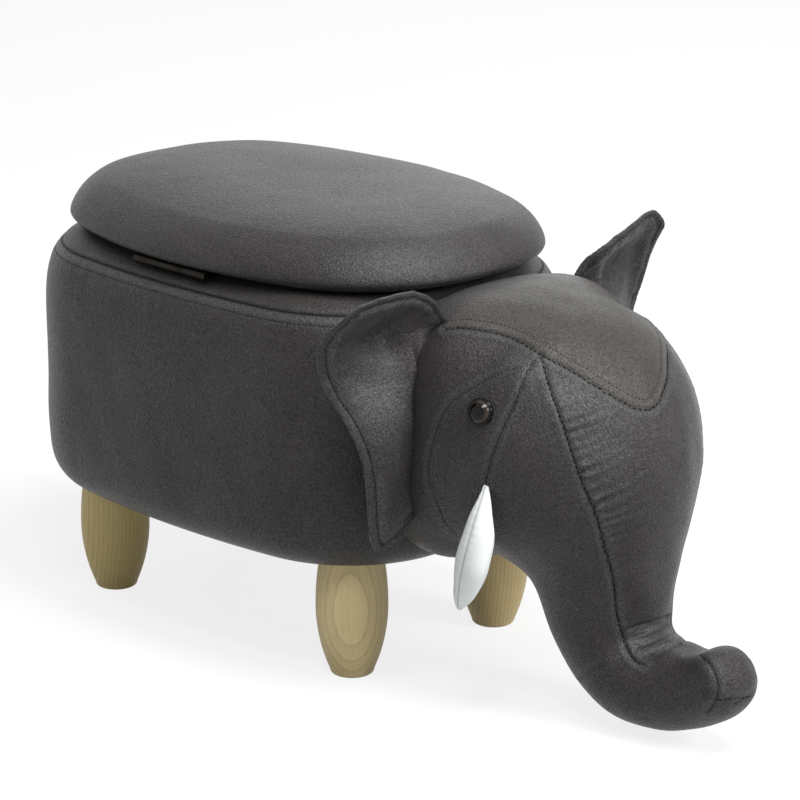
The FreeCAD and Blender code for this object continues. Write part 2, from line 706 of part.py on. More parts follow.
BOLT_SIDES = [f"{side} * head_bolt_spread / 2" for name, side in SIDES]
head_bolts = group("head_bolts", [
    turned("head_bolt", head_bolt, BOLT_FACE, y, BOLT_LEVEL, BACK) for y in BOLT_SIDES
])
head_t_nuts = group("head_t_nuts", [
    turned("head_nut", head_nut, NUT_FACE, y, BOLT_LEVEL, FORWARD) for y in BOLT_SIDES
])

# The room that the head leaves for the box
head_bed = new_body("head_bed")
loft(head_bed, "AdditiveLoft", box_profile(head_bed, "(0 - soft_gap)"))
doc.recompute()
bed = head_bed.Shape.copy()
bed.Placement = Placement()


def round_ring(centre, up, half_up, across, half_across):
    """A closed ring of four arcs."""
    def spot(turn):
        angle = math.radians(turn)
        return centre + up * (half_up * math.cos(angle)) + across * (half_across * math.sin(angle))
    return Part.Wire([Part.Arc(spot(q), spot(q + 45), spot(q + 90)).toShape() for q in (0, 90, 180, 270)])


def head_loft(grow):
    """The head and trunk in one, grown or shrunk all round."""
    rings = []
    for reach, level, lean, high, wide in RING_SHARES:
        angle = math.radians(lean)
        centre = Vector(size(f"{BODY_FRONT} + trunk_reach * {reach}"), 0, size(f"head_height * {level}"))
        if reach == RING_SHARES[-1][0]:
            centre = centre + Vector(math.cos(angle), 0, -math.sin(angle)) * grow
        up = Vector(math.sin(angle), 0, math.cos(angle))
        half_up = size(f"head_height * {high}") + grow
        rings.append(round_ring(centre, up, half_up, Vector(0, 1, 0), size(f"head_width * {wide}") + grow))
    return Part.makeLoft(rings, True)


def solid(label, shape):
    made = doc.addObject("Part::Feature", label)
    made.Shape = shape
    place(made, "0", "0", "0")
    return made


def block(low, high):
    """An upright box between two corners given as sums."""
    low = [size(total) for total in low]
    high = [size(total) for total in high]
    return Part.makeBox(*[b - a for a, b in zip(low, high)], Vector(*low))


def peg(start, direction, radius, length):
    return Part.makeCylinder(size(radius), size(length), start, direction)


# Where the eyes sit on the head
outside = head_loft(0)
skin = outside.cut(head_loft(-size("cover_leather")))


def on_side(side):
    """The point and outward normal of the head at an eye."""
    x, z = size(f"{BODY_FRONT} + eye_reach"), size("eye_lift")
    probe = Part.makeLine(Vector(x, 0, z), Vector(x, side * size("head_width"), z))
    point = max((v.Point for v in outside.common(probe).Vertexes), key=lambda p: abs(p.y))
    face = min(outside.Faces, key=lambda f: f.distToShape(Part.Vertex(point))[0])
    normal = face.normalAt(*face.Surface.parameter(point))
    return point, normal if normal.y * side > 0 else -normal


EYE_LEVEL = "eye_rim + (eye_dome^2 - eye_radius^2) / (2 * eye_dome)"
EYE_POINTS = [
    ("0", "-eye_shank_length"),
    ("eye_shank_radius", "-eye_shank_length"),
    ("eye_shank_radius", "0"),
    ("eye_radius", "0"),
    ("eye_radius", "eye_rim"),
    ("0", "eye_rim + eye_dome", EYE_LEVEL),
]
washer_bore = "(eye_shank_radius + fastener_gap)"
washer_end = "(0 - eye_washer_depth - eye_washer)"
WASHER_POINTS = [
    (washer_bore, washer_end),
    ("eye_washer_radius", washer_end),
    ("eye_washer_radius", "-eye_washer_depth"),
    (washer_bore, "-eye_washer_depth"),
]
eyes = []
washers = []
eye_holes = []
eye_rooms = []
for name, side in SIDES:
    point, normal = on_side(side)
    spot = [f"({value})" for value in point]
    eyes.append(turned(f"eye_{name}", EYE_POINTS, *spot, normal))
    washers.append(turned("washer", WASHER_POINTS, *spot, normal))
    start = point + normal * size("cut_overrun")
    eye_holes.append(peg(start, -normal, washer_bore, "cut_overrun + eye_shank_length + soft_gap"))
    room = "cut_overrun + eye_washer_depth + eye_washer + soft_gap"
    eye_rooms.append(peg(start, -normal, "eye_washer_radius + soft_gap", room))
eye_washers = group("eye_washers", washers)

# Covers and fillings of the head and trunk
wide = "head_width"
trunk_end = f"{BODY_FRONT} + trunk_reach + cut_overrun"
trunk_room = block(("0", f"-{wide}", "-cut_overrun"), (trunk_end, wide, "trunk_seam_height"))
filling_room = block(("0", f"-{wide}", "-cut_overrun"), (trunk_end, wide, "trunk_seam_height - soft_gap"))
tip_start = f"{BODY_FRONT} + tip_seam_reach"
tip_room = block((tip_start, f"-{wide}", "-cut_overrun"), (trunk_end, wide, "trunk_seam_height"))
board_room = block(
    (BODY_FRONT, f"-{half_board} - soft_gap", "head_board_lift - soft_gap"),
    (f"{BOLT_FACE} + soft_gap", f"{half_board} + soft_gap", f"{board_high} + soft_gap"),
)
bolt_rooms = [
    peg(
        Vector(size(BODY_FRONT), size(y), size(BOLT_LEVEL)),
        FORWARD,
        "head_bolt_head_radius + 2 * soft_gap",
        "head_board_stand + head_board_thickness + head_bolt_head + 2 * soft_gap",
    )
    for y in BOLT_SIDES
]
filling = head_loft(-size("cover_leather + soft_gap"))
head_cover = solid("head_cover", skin.cut([bed, trunk_room] + eye_holes))
hollows = [bed, trunk_room, board_room] + bolt_rooms + eye_holes + eye_rooms
head_filling = solid("head_filling", filling.cut(hollows))
trunk_cover = solid("trunk_cover", skin.common(trunk_room).cut(tip_room))
trunk_tip = solid("trunk_tip", skin.common(tip_room))
trunk_filling = solid("trunk_filling", filling.common(filling_room))

# Ears and tusks, cut where they meet the head
around_head = head_loft(size("soft_gap"))
ears = []
tusks = []
for name, side in SIDES:
    strips = []
    for reach, level, high in EAR_SHARES:
        x = size(f"{BODY_FRONT} + ear_stand") - size("ear_sweep") * max(reach, 0) ** 2
        y = side * size(f"ear_root + ear_length * {reach}")
        centre = Vector(x, y, size(f"ear_lift + ear_height * {level}"))
        half_high = size(f"ear_height * {high}")
        half_thick = size("ear_thickness / 2")
        lean = Vector(EAR_LEAN_SHARE * max(reach, 0) ** 2, 0, 1)
        across = Vector(0, 1, 0).cross(lean).normalize()
        strips.append(round_ring(centre, lean, half_high, across, half_thick))
    ears.append(solid(f"ear_{name}", Part.makeLoft(strips, True).cut(around_head)))
    rings = []
    fall = Vector(-size("tusk_sweep"), side * size("tusk_splay"), -size("tusk_drop"))
    root = Vector(size(f"{BODY_FRONT} + tusk_reach"), side * size("tusk_stand"), size("tusk_lift"))
    across = Vector(0, side, 0).cross(fall).normalize()
    for along, girth, bow in TUSK_SHARES:
        bend = Vector(size(f"tusk_lead * {bow}"), side * size(f"tusk_bow * {bow}"), 0)
        centre = root + fall * along + bend
        half_width = size(f"tusk_width / 2 * {girth}")
        half_thick = size(f"tusk_thickness / 2 * {girth}")
        rings.append(round_ring(centre, across, half_width, Vector(0, side, 0), half_thick))
    tusks.append(solid(f"tusk_{name}", Part.makeLoft(rings, True).cut(around_head)))
doc.recompute()

PIECES = [
    base_board, dust_cover, wall_panel, top_rim, rim_cover, storage_lining, wall_foam, body_cover,
    *legs, leg_bolts, leg_t_nuts, base_screws, rim_screws,
    lid_lining, lid_board, lid_foam, lid_cover,
    hinge_fixed_leaf, hinge_lid_leaf, hinge_pin, hinge_fixed_screws, hinge_lid_screws,
    head_board, head_bolts, head_t_nuts, head_cover, head_filling, trunk_cover, trunk_tip, trunk_filling,
    *ears, *tusks, *eyes, eye_washers,
]
for thing in doc.Objects:
    if {"Invalid", "Error"} & set(thing.State):
        raise RuntimeError(f"{thing.Label} did not build: {thing.State}")
os.makedirs("parts", exist_ok=True)
for piece in PIECES:
    if piece.Shape.isNull() or not piece.Shape.isValid():
        raise RuntimeError(f"{piece.Label} has no valid shape")
    piece.Shape.exportStep(f"parts/{piece.Label}.step")
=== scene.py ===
"""Looks of the elephant storage stool: leather, stitching, linings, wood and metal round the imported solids.

Metres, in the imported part's frame: +Z up, +X towards the trunk, the hinge on the -Y side.
"""

import math

import bpy
import numpy as np
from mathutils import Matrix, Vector
from mathutils.bvhtree import BVHTree
from mathutils.geometry import delaunay_2d_cdt


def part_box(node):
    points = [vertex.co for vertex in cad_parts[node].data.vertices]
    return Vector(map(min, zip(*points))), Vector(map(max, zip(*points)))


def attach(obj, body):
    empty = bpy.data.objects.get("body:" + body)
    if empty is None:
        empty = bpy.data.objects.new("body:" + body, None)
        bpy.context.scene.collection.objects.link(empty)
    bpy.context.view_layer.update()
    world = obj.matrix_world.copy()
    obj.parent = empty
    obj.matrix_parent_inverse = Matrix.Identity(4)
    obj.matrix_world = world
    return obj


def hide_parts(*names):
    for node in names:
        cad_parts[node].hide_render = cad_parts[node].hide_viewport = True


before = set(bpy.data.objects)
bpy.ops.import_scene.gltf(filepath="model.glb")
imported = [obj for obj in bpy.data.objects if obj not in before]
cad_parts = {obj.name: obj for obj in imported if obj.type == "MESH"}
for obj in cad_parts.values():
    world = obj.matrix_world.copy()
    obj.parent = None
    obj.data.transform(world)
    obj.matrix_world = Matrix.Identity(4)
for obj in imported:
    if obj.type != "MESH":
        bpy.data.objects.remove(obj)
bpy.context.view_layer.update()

# Camera, as found from the photograph, whose frame is square
PHOTO_SIDE = 800
AZIMUTH = 45.279
ELEVATION = 17.035
DISTANCE = 2.790
TARGET = np.array([-0.0163, 0.0, 0.1929])
LENS = 164.83
SENSOR = 36.0

# Sizes of the box, the lid and the head, the same as the solids have
MIDDLE = np.array([-0.127, 0.0, 0.0])
BODY = {"length": 0.410, "width": 0.304, "side": 0.83607, "end": 1.07968, "corner": 0.112}
LID = {"length": 0.404, "width": 0.278, "side": 0.484, "end": 0.800, "corner": 0.118}
# The lid's cushion is rounder in plan than its board, and lies a little askew on it
CUSHION = {"length": 0.4055, "width": 0.289, "side": 0.350, "end": 0.260, "corner": 0.1170}
CUSHION_SHIFT = np.array([-0.0020, 0.0068, 0.0])
BODY_LOW = 0.095
BODY_TALL = 0.205
FOOT_INSET = 0.022
SHOULDER_INSET = 0.030
LID_LOW = 0.302
LID_TALL = 0.056
LID_TUCK = 0.024
TRUNK_REACH = 0.254
HEAD_HEIGHT = 0.208
HEAD_WIDTH = 0.212
BODY_FRONT = MIDDLE[0] + BODY["length"] / 2

# Share of a height, and of the inset there: foot and shoulder of the box, tuck and crown of the lid
FOOT_SHARES = [(0.0, 1.0), (0.028, 0.60), (0.08, 0.22), (0.18, 0.0)]
SHOULDER_SHARES = [(0.47, 0.0), (0.72, 0.0), (0.84, 0.08), (0.915, 0.26), (0.965, 0.56), (1.0, 1.0)]
TUCK_SHARES = [
    (0.0, 1.0), (0.016, 0.671), (0.0375, 0.421), (0.0625, 0.221), (0.0946, 0.079), (0.1286, 0.008),
    (0.1464, 0.0),
]
CROWN_SHARES = [
    (0.1857, 0.0022), (0.2393, 0.0094), (0.2964, 0.0209), (0.3589, 0.0374), (0.4196, 0.0568),
    (0.4768, 0.0799), (0.5321, 0.1058), (0.5804, 0.1331), (0.6232, 0.1619), (0.6571, 0.1914),
    (0.6786, 0.2194), (0.7143, 0.2734), (0.7571, 0.3597), (0.7946, 0.4748), (0.8268, 0.6475),
]
# Reach, height, lean in degrees, half height and half width of the rings of the head and trunk
RING_SHARES = [
    (-0.165, 0.940, 0, 0.420, 0.430),
    (-0.035, 0.975, 0, 0.470, 0.472),
    (0.118, 0.995, 4, 0.500, 0.500),
    (0.268, 0.980, 18, 0.505, 0.492),
    (0.405, 0.882, 36, 0.468, 0.428),
    (0.461, 0.712, 56, 0.373, 0.346),
    (0.463, 0.555, 73, 0.285, 0.262),
    (0.470, 0.432, 82, 0.235, 0.227),
    (0.508, 0.304, 60, 0.206, 0.203),
    (0.574, 0.214, 30, 0.182, 0.188),
    (0.680, 0.182, 3, 0.168, 0.170),
    (0.795, 0.203, -15, 0.151, 0.149),
    (0.890, 0.245, -22, 0.125, 0.128),
    (0.955, 0.289, -24, 0.101, 0.110),
    (0.990, 0.304, -24, 0.067, 0.071),
]
# Share of the length and height of an ear's upper and lower edge, root to tip
EAR_TOP = np.array([
    (-0.432, 0.2884), (-0.349, 0.2978), (-0.240, 0.3106), (-0.105, 0.3185), (0.069, 0.3240), (0.299, 0.3251),
    (0.526, 0.3241), (0.722, 0.3209), (0.800, 0.3165), (0.852, 0.3105), (0.885, 0.3010), (0.900, 0.2890),
])
EAR_LOW = np.array([
    (-0.432, 0.2864), (-0.349, 0.2664), (-0.240, 0.2034), (-0.105, 0.1647), (0.0, 0.1464), (0.102, 0.1341),
    (0.212, 0.1270), (0.305, 0.1271), (0.365, 0.1369), (0.392, 0.1508), (0.417, 0.1654), (0.450, 0.1846),
    (0.499, 0.2023), (0.557, 0.2154), (0.652, 0.2331), (0.742, 0.2464), (0.810, 0.2597), (0.866, 0.2737),
    (0.900, 0.2870),
])
EAR_ROOT = 0.103
EAR_LENGTH = 0.075
EAR_TIP = 0.900
EAR_STAND = 0.022
EAR_CREST = 0.3250
# Height, and how far the ear is swept back there at the end of its length
EAR_SWEEP = np.array([
    (0.100, 0.046), (0.240, 0.045), (0.263, 0.040), (0.270, 0.036), (0.285, 0.027), (0.300, 0.016),
    (0.313, 0.006), (0.325, -0.002), (0.345, -0.004),
])
# Place along the drop, girth and bow of the rings of a tusk, root to point
TUSK_SHARES = [
    (0.0, 0.14, 0.0),
    (0.12, 0.44, 0.45),
    (0.35, 0.88, 0.92),
    (0.58, 1.0, 1.0),
    (0.80, 0.74, 0.66),
    (0.94, 0.40, 0.20),
    (1.0, 0.16, 0.0),
]
TUSK_ROOT = np.array([BODY_FRONT + 0.0894, 0.0958, 0.190])
TUSK_FALL = np.array([-0.020, 0.006, -0.097])
TUSK_BOW = np.array([0.010, 0.008, 0.0])
TUSK_WIDTH = 0.0265
TUSK_THICK = 0.0225

# Seams of the near side of the head, as pixels of the photograph
CAP_SEAM = [
    (444, 329), (461, 328), (478, 330), (495, 333), (511, 338), (526, 345), (541, 355), (560, 365),
    (578, 375), (597, 387), (615, 398), (626, 404), (635, 408), (645, 410), (653, 408), (660, 400),
    (664, 391), (667, 380), (668, 368),
]
CAP_APEX = 7
TUSK_SEAM = [(541, 356), (530, 368), (521, 388), (511, 411), (502, 431), (494, 452), (488, 470), (485, 486)]
TRUNK_SEAM = [
    (541, 355), (548, 383), (558, 412), (568, 442), (578, 472), (587, 495), (594, 511), (600, 530),
    (606, 553), (613, 579), (616, 603), (619, 624), (624, 639), (629, 652), (636, 661), (643, 664),
]
CHEEK_SEAM = [
    (533, 365), (510, 370), (484, 381), (465, 392), (451, 402), (442, 415), (434, 434), (430, 454),
    (429, 473), (432, 488), (438, 503), (445, 519), (457, 536),
]
TIP_SEAM = [(701, 656), (706, 661), (711, 666), (716, 676), (718, 686), (717, 697), (714, 704), (708, 711)]
TIP_JOIN = [(717, 699), (726, 699), (735, 698), (744, 697), (753, 695)]
# Depth and darkness of each kind of seam
SEAM_LOOKS = {
    "cap": (0.0011, 0.7),
    "tusk": (0.0006, 0.4),
    "trunk": (0.0010, 0.6),
    "cheek": (0.0004, 0.12),
    "tip": (0.0006, 0.5),
    "tip_join": (0.0003, 0.35),
}
# Depth and pixels of the folds of the trunk
FOLDS = [
    (0.0020, [(620, 633), (632, 628), (645, 624), (658, 620), (673, 616)]),
    (0.0009, [(624, 641), (636, 637), (650, 633), (664, 629), (677, 625)]),
    (0.0012, [(629, 650), (641, 646), (654, 641), (668, 636), (680, 632)]),
    (0.0034, [(634, 660), (645, 655), (657, 649), (669, 644), (684, 642)]),
    (0.0013, [(577, 681), (585, 675), (594, 669), (605, 663)]),
]
# Place, height and width of small swells of the trunk
SWELLS = [((694, 646), -0.0020, 0.015), ((714, 656), 0.0008, 0.010)]
# Place, width and strength of painted sheen on the leather of the face
PAINTED_SHEEN_PLACES = [((541, 364), 0.018, 0.55), ((572, 398), 0.024, 0.50), ((590, 450), 0.022, 0.35)]
EYE_PIXEL = (481, 412)

LEFTWARD = np.array([0, 1, 0])
SIDES = (("left", 1), ("right", -1))


def spline(knots, values, at):
    """A natural cubic spline through rows of values, read at new places."""
    step = np.diff(knots)
    slope = np.diff(values, axis=0) / step[:, None]
    system = np.eye(len(knots))
    right = np.zeros_like(values)
    for i in range(1, len(knots) - 1):
        system[i, i - 1:i + 2] = step[i - 1], 2 * (step[i - 1] + step[i]), step[i]
        right[i] = 6 * (slope[i] - slope[i - 1])
    bend = np.linalg.solve(system, right)
    i = np.clip(np.searchsorted(knots, at) - 1, 0, len(knots) - 2)
    wide = step[i][:, None]
    a = (knots[i + 1] - at)[:, None] / wide
    b = 1 - a
    return a * values[i] + b * values[i + 1] + ((a**3 - a) * bend[i] + (b**3 - b) * bend[i + 1]) * wide**2 / 6


def along(points):
    """The distance along a line of points from its start."""
    return np.r_[0.0, np.cumsum(np.linalg.norm(np.diff(points, axis=0), axis=1))]


def points_at(line, at):
    """Points of a line at distances along it."""
    return np.column_stack([np.interp(at, along(line), column) for column in line.T])


def smooth_line(points, step):
    """A smooth line through a few points, with its own points a step apart."""
    points = np.asarray(points, float)
    line = spline(along(points), points, np.linspace(0, along(points)[-1], 16 * len(points)))
    total = along(line)[-1]
    return points_at(line, np.linspace(0, total, max(2, round(total / step) + 1)))


def waves(points, size, seed):
    """Soft random waves over space, about one unit high and a given size long."""
    dice = np.random.default_rng(seed)
    total = np.zeros(len(points))
    for _ in range(18):
        direction = dice.normal(size=3)
        direction *= math.tau / (size * dice.uniform(0.7, 1.5)) / np.linalg.norm(direction)
        total += np.sin(points @ direction + dice.uniform(0, math.tau))
    return total / 3


def fade(value, start, stop):
    """A smooth step from 0 at start to 1 at stop."""
    t = np.clip((value - start) / (stop - start), 0, 1)
    return t * t * (3 - 2 * t)


def hill(value, width):
    """1 at 0, falling off over a width."""
    return np.exp(-(value / width) ** 2)


def oval(size, count):
    """Points and outward normals round an oval of eight tangent arcs, evenly spaced."""
    end_x = size["end"] - size["length"] / 2
    side_y = size["side"] - size["width"] / 2
    end, side, corner = size["end"], size["side"], size["corner"]
    apart = math.hypot(end_x, side_y)
    near = ((side - corner) ** 2 - (end - corner) ** 2 + apart**2) / (2 * apart)
    across = math.sqrt((side - corner) ** 2 - near**2)
    x = (side_y * across - end_x * near) / apart
    y = (side_y * near + end_x * across) / apart - side_y
    low = math.atan2(y, x + end_x)
    high = math.atan2(y + side_y, x)
    half = math.pi
    steps = 400
    arcs = [
        (-end_x, 0, end, -low, low),
        (x, y, corner, low, high),
        (0, -side_y, side, high, half - high),
        (-x, y, corner, half - high, half - low),
        (end_x, 0, end, half - low, half + low),
        (-x, -y, corner, half + low, half + high),
        (0, side_y, side, half + high, 2 * half - high),
        (x, -y, corner, 2 * half - high, 2 * half - low),
    ]
    turns = np.concatenate([np.linspace(a, b, steps) for *_, a, b in arcs])
    centres = np.repeat([(a, b) for a, b, *_ in arcs], steps, axis=0)
    radii = np.repeat([r for _, _, r, *_ in arcs], steps)
    places = along(centres + radii[:, None] * np.column_stack([np.cos(turns), np.sin(turns)]))
    at = np.linspace(0, places[-1], count, endpoint=False)
    turns = np.interp(at, places, turns)
    arc = np.clip(np.searchsorted(places, at, side="right") - 1, 0, len(radii) - 1)
    normals = np.column_stack([np.cos(turns), np.sin(turns)])
    return centres[arc] + radii[arc][:, None] * normals, normals


def swept(points, normals, profile):
    """Rows of points: an oval drawn in by each inset of a profile, at that height, about the box's middle."""
    rows = points[None] - profile[:, 0, None, None] * normals[None]
    level = np.broadcast_to(profile[:, 1, None, None], rows.shape[:2] + (1,))
    return np.concatenate([rows, level], 2) + MIDDLE


def quads(rows, columns, closed_rows=False):
    """Faces between rows of points, each row closed on itself."""
    last = rows if closed_rows else rows - 1
    r = (np.arange(last) * columns)[:, None]
    after = ((np.arange(last) + 1) % rows * columns)[:, None]
    c = np.arange(columns)
    n = (c + 1) % columns
    return np.stack([r + c, r + n, after + n, after + c], -1).reshape(-1, 4).tolist()


def fan(centre, start, columns, turned):
    """Triangles from one point to a closed row."""
    c = np.arange(columns)
    n = (c + 1) % columns
    pair = (start + n, start + c) if turned else (start + c, start + n)
    return np.column_stack([np.full(columns, centre), *pair]).tolist()


def capped(rows, columns):
    """Faces of rows of points, closed by two poles that come after the rows."""
    last = rows * columns
    return quads(rows, columns) + fan(last, 0, columns, True) + fan(last + 1, last - columns, columns, False)


def mirrored(points, faces, side):
    """Points and faces of a left piece, or of its mirror image on the right."""
    return points * (1, side, 1), faces if side > 0 else [face[::-1] for face in faces]


def grid_normals(grid):
    """Unit normals of rows of points that are closed along each row."""
    down = np.gradient(grid, axis=0)
    round_ = np.roll(grid, -1, 1) - np.roll(grid, 1, 1)
    normal = np.cross(round_, down)
    return normal / np.maximum(np.linalg.norm(normal, axis=2, keepdims=True), 1e-12)


def near_line(points, line, reach):
    """Distance from each point to a line, and the place along it of the nearest point."""
    gap = np.full(len(points), 10.0)
    place = np.zeros(len(points))
    inside = np.all((points > line.min(0) - reach) & (points < line.max(0) + reach), axis=1)
    chosen = np.flatnonzero(inside)
    places = along(line)
    batch = 4000
    for start in range(0, len(chosen), batch):
        part = chosen[start:start + batch]
        apart = np.linalg.norm(points[part][:, None] - line[None], axis=2)
        best = apart.argmin(1)
        gap[part] = apart[np.arange(len(part)), best]
        place[part] = places[best]
    return gap, place


def piece(name, points, faces, material, body, slot, **attributes):
    """A smooth mesh that rides on a body, with values for its material per point, 0 at its poles."""
    mesh = bpy.data.meshes.new(name)
    mesh.from_pydata(np.asarray(points).tolist(), [], faces)
    mesh.validate()
    mesh.shade_smooth()
    mesh.materials.append(material)
    for label, values in attributes.items():
        values = np.pad(values, (0, len(points) - len(values))).astype(np.float32)
        mesh.attributes.new(label, "FLOAT", "POINT").data.foreach_set("value", values)
    made = bpy.data.objects.new(name, mesh)
    bpy.context.scene.collection.objects.link(made)
    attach(made, body)
    return made


def surface(thing):
    """A search tree over a piece's faces."""
    mesh = thing.data
    return BVHTree.FromPolygons([v.co.copy() for v in mesh.vertices], [p.vertices[:] for p in mesh.polygons])


class Shader:
    """A material in the making: adds nodes and joins them."""

    def __init__(self, name):
        self.material = bpy.data.materials.new(name)
        self.material.use_nodes = True
        self.tree = self.material.node_tree
        self.finish = self.tree.nodes["Principled BSDF"]
        self.place = self.add("TexCoord").outputs["Object"]

    def add(self, kind, sockets=(), **settings):
        made = self.tree.nodes.new(f"ShaderNode{kind}")
        for key, value in settings.items():
            setattr(made, key, value)
        self.set(made, sockets)
        return made

    def set(self, made, sockets):
        for key, value in dict(sockets).items():
            if isinstance(value, bpy.types.NodeSocket):
                self.tree.links.new(value, made.inputs[key])
            else:
                made.inputs[key].default_value = value

    def noise(self, size, detail=4.0, roughness=0.55, place=None):
        """Noise whose marks are about a given size in metres."""
        sockets = {"Vector": place or self.place, "Scale": 1 / size, "Detail": detail, "Roughness": roughness}
        return self.add("TexNoise", sockets).outputs["Fac"]

    def bands(self, scale, distortion, direction):
        sockets = {"Vector": self.place, "Scale": scale, "Distortion": distortion}
        return self.add("TexWave", sockets, bands_direction=direction).outputs["Fac"]

    def moved(self, shift=(0, 0, 0), turn=(0, 0, 0), scale=(1, 1, 1)):
        sockets = {"Vector": self.place, "Location": shift, "Rotation": turn, "Scale": scale}
        return self.add("Mapping", sockets).outputs["Vector"]

    def ramp(self, value, *stops):
        made = self.add("ValToRGB", {"Fac": value})
        points = made.color_ramp.elements
        while len(points) < len(stops):
            points.new(0.5)
        for point, (where, colour) in zip(points, stops):
            point.position = where
            point.color = (*colour, 1) if isinstance(colour, tuple) else (colour, colour, colour, 1)
        return made.outputs["Color"]

    def mix(self, share, first, second, blend="MIX"):
        made = self.add("Mix", data_type="RGBA", blend_type=blend)
        for index, value in ((0, share), (6, first), (7, second)):
            self.set(made, {index: (*value, 1) if isinstance(value, tuple) else value})
        return made.outputs[2]

    def math(self, operation, first, second=0.0):
        return self.add("Math", {0: first, 1: second}, operation=operation).outputs[0]

    def span(self, value, low, high):
        return self.add("MapRange", {"Value": value, "To Min": low, "To Max": high}).outputs["Result"]

    def attribute(self, name):
        return self.add("Attribute", attribute_name=name).outputs["Fac"]

    def bump(self, height, depth, under=None):
        sockets = {"Height": height, "Distance": depth, "Strength": 1.0}
        if under is not None:
            sockets["Normal"] = under
        return self.add("Bump", sockets).outputs["Normal"]


def leather(name, dark, light, sheen_and_wear, rough, mottle=1.0):
    """Soft brushed imitation leather: clouds, speckle, pebbled grain, dark seam lines with painted shade in
    creases, and paler places of painted sheen and wear.
    """
    made = Shader(name)
    clouds = made.noise(0.060, 5.0, 0.6)
    blotches = made.noise(0.0080, 4.0, 0.65)
    speckle = made.noise(0.0015, 3.0, 0.75)
    colour = made.ramp(clouds, (0.34, dark), (0.68, light))
    grit = made.ramp(speckle, (0.36, 1 - 0.24 * mottle), (0.50, 1.0), (0.64, 1 + 0.26 * mottle))
    colour = made.mix(1.0, colour, grit, "MULTIPLY")
    tone = made.ramp(blotches, (0.34, 1 - 0.10 * mottle), (0.66, 1 + 0.10 * mottle))
    colour = made.mix(1.0, colour, tone, "MULTIPLY")
    # Painted sheen and wear: a paler, bluish colour mixed in, most where the speckle is light
    rubbed = made.math("MULTIPLY", made.attribute("rubbed"), made.ramp(speckle, (0.38, 0.25), (0.62, 1.0)))
    colour = made.mix(rubbed, colour, sheen_and_wear)
    # Dark seam and hem lines, partly painted shade in their grooves, and painted shade in fold creases and
    # where the ears meet the head
    colour = made.mix(made.attribute("seam"), colour, tuple(c * 0.25 for c in dark))
    pebble = made.add("TexVoronoi", {"Vector": made.place, "Scale": 620.0}, feature="SMOOTH_F1")
    grain = made.bump(pebble.outputs["Distance"], 0.00034 * mottle)
    grain = made.bump(speckle, 0.00060 * mottle, grain)
    grain = made.bump(blotches, 0.00020, grain)
    shine = made.ramp(speckle, (0.38, 0.24 - 0.09 * mottle), (0.62, 0.24 + 0.12 * mottle))
    made.set(made.finish, {
        "Base Color": colour,
        "Roughness": made.ramp(speckle, (0.36, rough + 0.08), (0.64, rough - 0.05)),
        "Specular IOR Level": made.mix(made.attribute("seam"), shine, (0.05, 0.05, 0.05)),
        "Sheen Weight": 0.06,
        "Sheen Roughness": 0.40,
        "Normal": grain,
    })
    return made.material


def wood(name, centre, pith, pale, deep):
    """Pine turned about an upright axis, its year rings round a pith beside the leg."""
    made = Shader(name)
    pith = (-(centre[0] + pith[0]), -(centre[1] + pith[1]), 0.0)
    place = made.moved(shift=pith, turn=(math.radians(1.2), math.radians(-1.5), 0))
    rings = made.add("TexWave", {
        "Vector": place, "Scale": 95.0, "Distortion": 0.9, "Detail": 1.0, "Detail Scale": 0.25,
    }, wave_type="RINGS", rings_direction="Z", wave_profile="SAW").outputs["Fac"]
    fibre = made.noise(0.0016, 4.0, 0.6, made.moved(scale=(1, 1, 0.035)))
    figure = made.ramp(rings, (0.0, 1.06), (0.70, 0.98), (1.0, 0.80))
    streak = made.ramp(fibre, (0.30, 0.90), (0.55, 1.0), (0.80, 1.06))
    colour = made.ramp(made.noise(0.05), (0.3, pale), (0.7, deep))
    colour = made.mix(1.0, colour, figure, "MULTIPLY")
    colour = made.mix(1.0, colour, streak, "MULTIPLY")
    relief = made.bump(fibre, 0.00010)
    relief = made.bump(rings, 0.00006, relief)
    made.set(made.finish, {
        "Base Color": colour,
        "Roughness": made.span(fibre, 0.42, 0.62),
        "Specular IOR Level": 0.35,
        "Normal": relief,
    })
    return made.material


def metal(name, dark, light, rough):
    """Plated metal with brushed streaks and darker, rub-worn patches."""
    made = Shader(name)
    brushed = made.noise(0.0012, 3.0, 0.6, made.moved(scale=(0.06, 1, 1)))
    patches = made.noise(0.012, 4.0)
    colour = made.ramp(patches, (0.30, dark), (0.72, light))
    made.set(made.finish, {
        "Base Color": colour,
        "Metallic": 1.0,
        "Roughness": made.span(brushed, rough - 0.10, rough + 0.16),
        "Normal": made.bump(brushed, 0.00005),
    })
    return made.material


def board(name):
    """Plywood: pale faces with long figure, and thin plies."""
    made = Shader(name)
    figure = made.noise(0.006, 5.0, 0.6, made.moved(scale=(0.06, 1, 1)))
    plies = made.bands(110.0, 0.4, "Z")
    colour = made.ramp(figure, (0.25, (0.40, 0.27, 0.14)), (0.75, (0.60, 0.45, 0.27)))
    colour = made.mix(made.span(plies, 0.0, 0.35), colour, (0.33, 0.21, 0.11))
    made.set(made.finish, {
        "Base Color": colour, "Roughness": made.span(figure, 0.55, 0.75), "Normal": made.bump(figure, 0.0002),
    })
    return made.material


def cloth(name, dark, light, thread):
    """A plain woven lining of crossing threads."""
    made = Shader(name)
    pitch = 0.314 / thread
    weft, warp, rise = [made.bands(pitch, 0.5, axis) for axis in "XYZ"]
    weave = made.math("ADD", made.math("MULTIPLY", weft, warp), made.math("MULTIPLY", rise, 0.5))
    colour = made.ramp(weave, (0.1, dark), (1.0, light))
    colour = made.mix(made.span(made.noise(0.04), 0.0, 0.35), colour, dark)
    made.set(made.finish, {
        "Base Color": colour, "Roughness": made.span(weave, 0.95, 0.75), "Sheen Weight": 0.2,
        "Normal": made.bump(weave, 0.0003),
    })
    return made.material


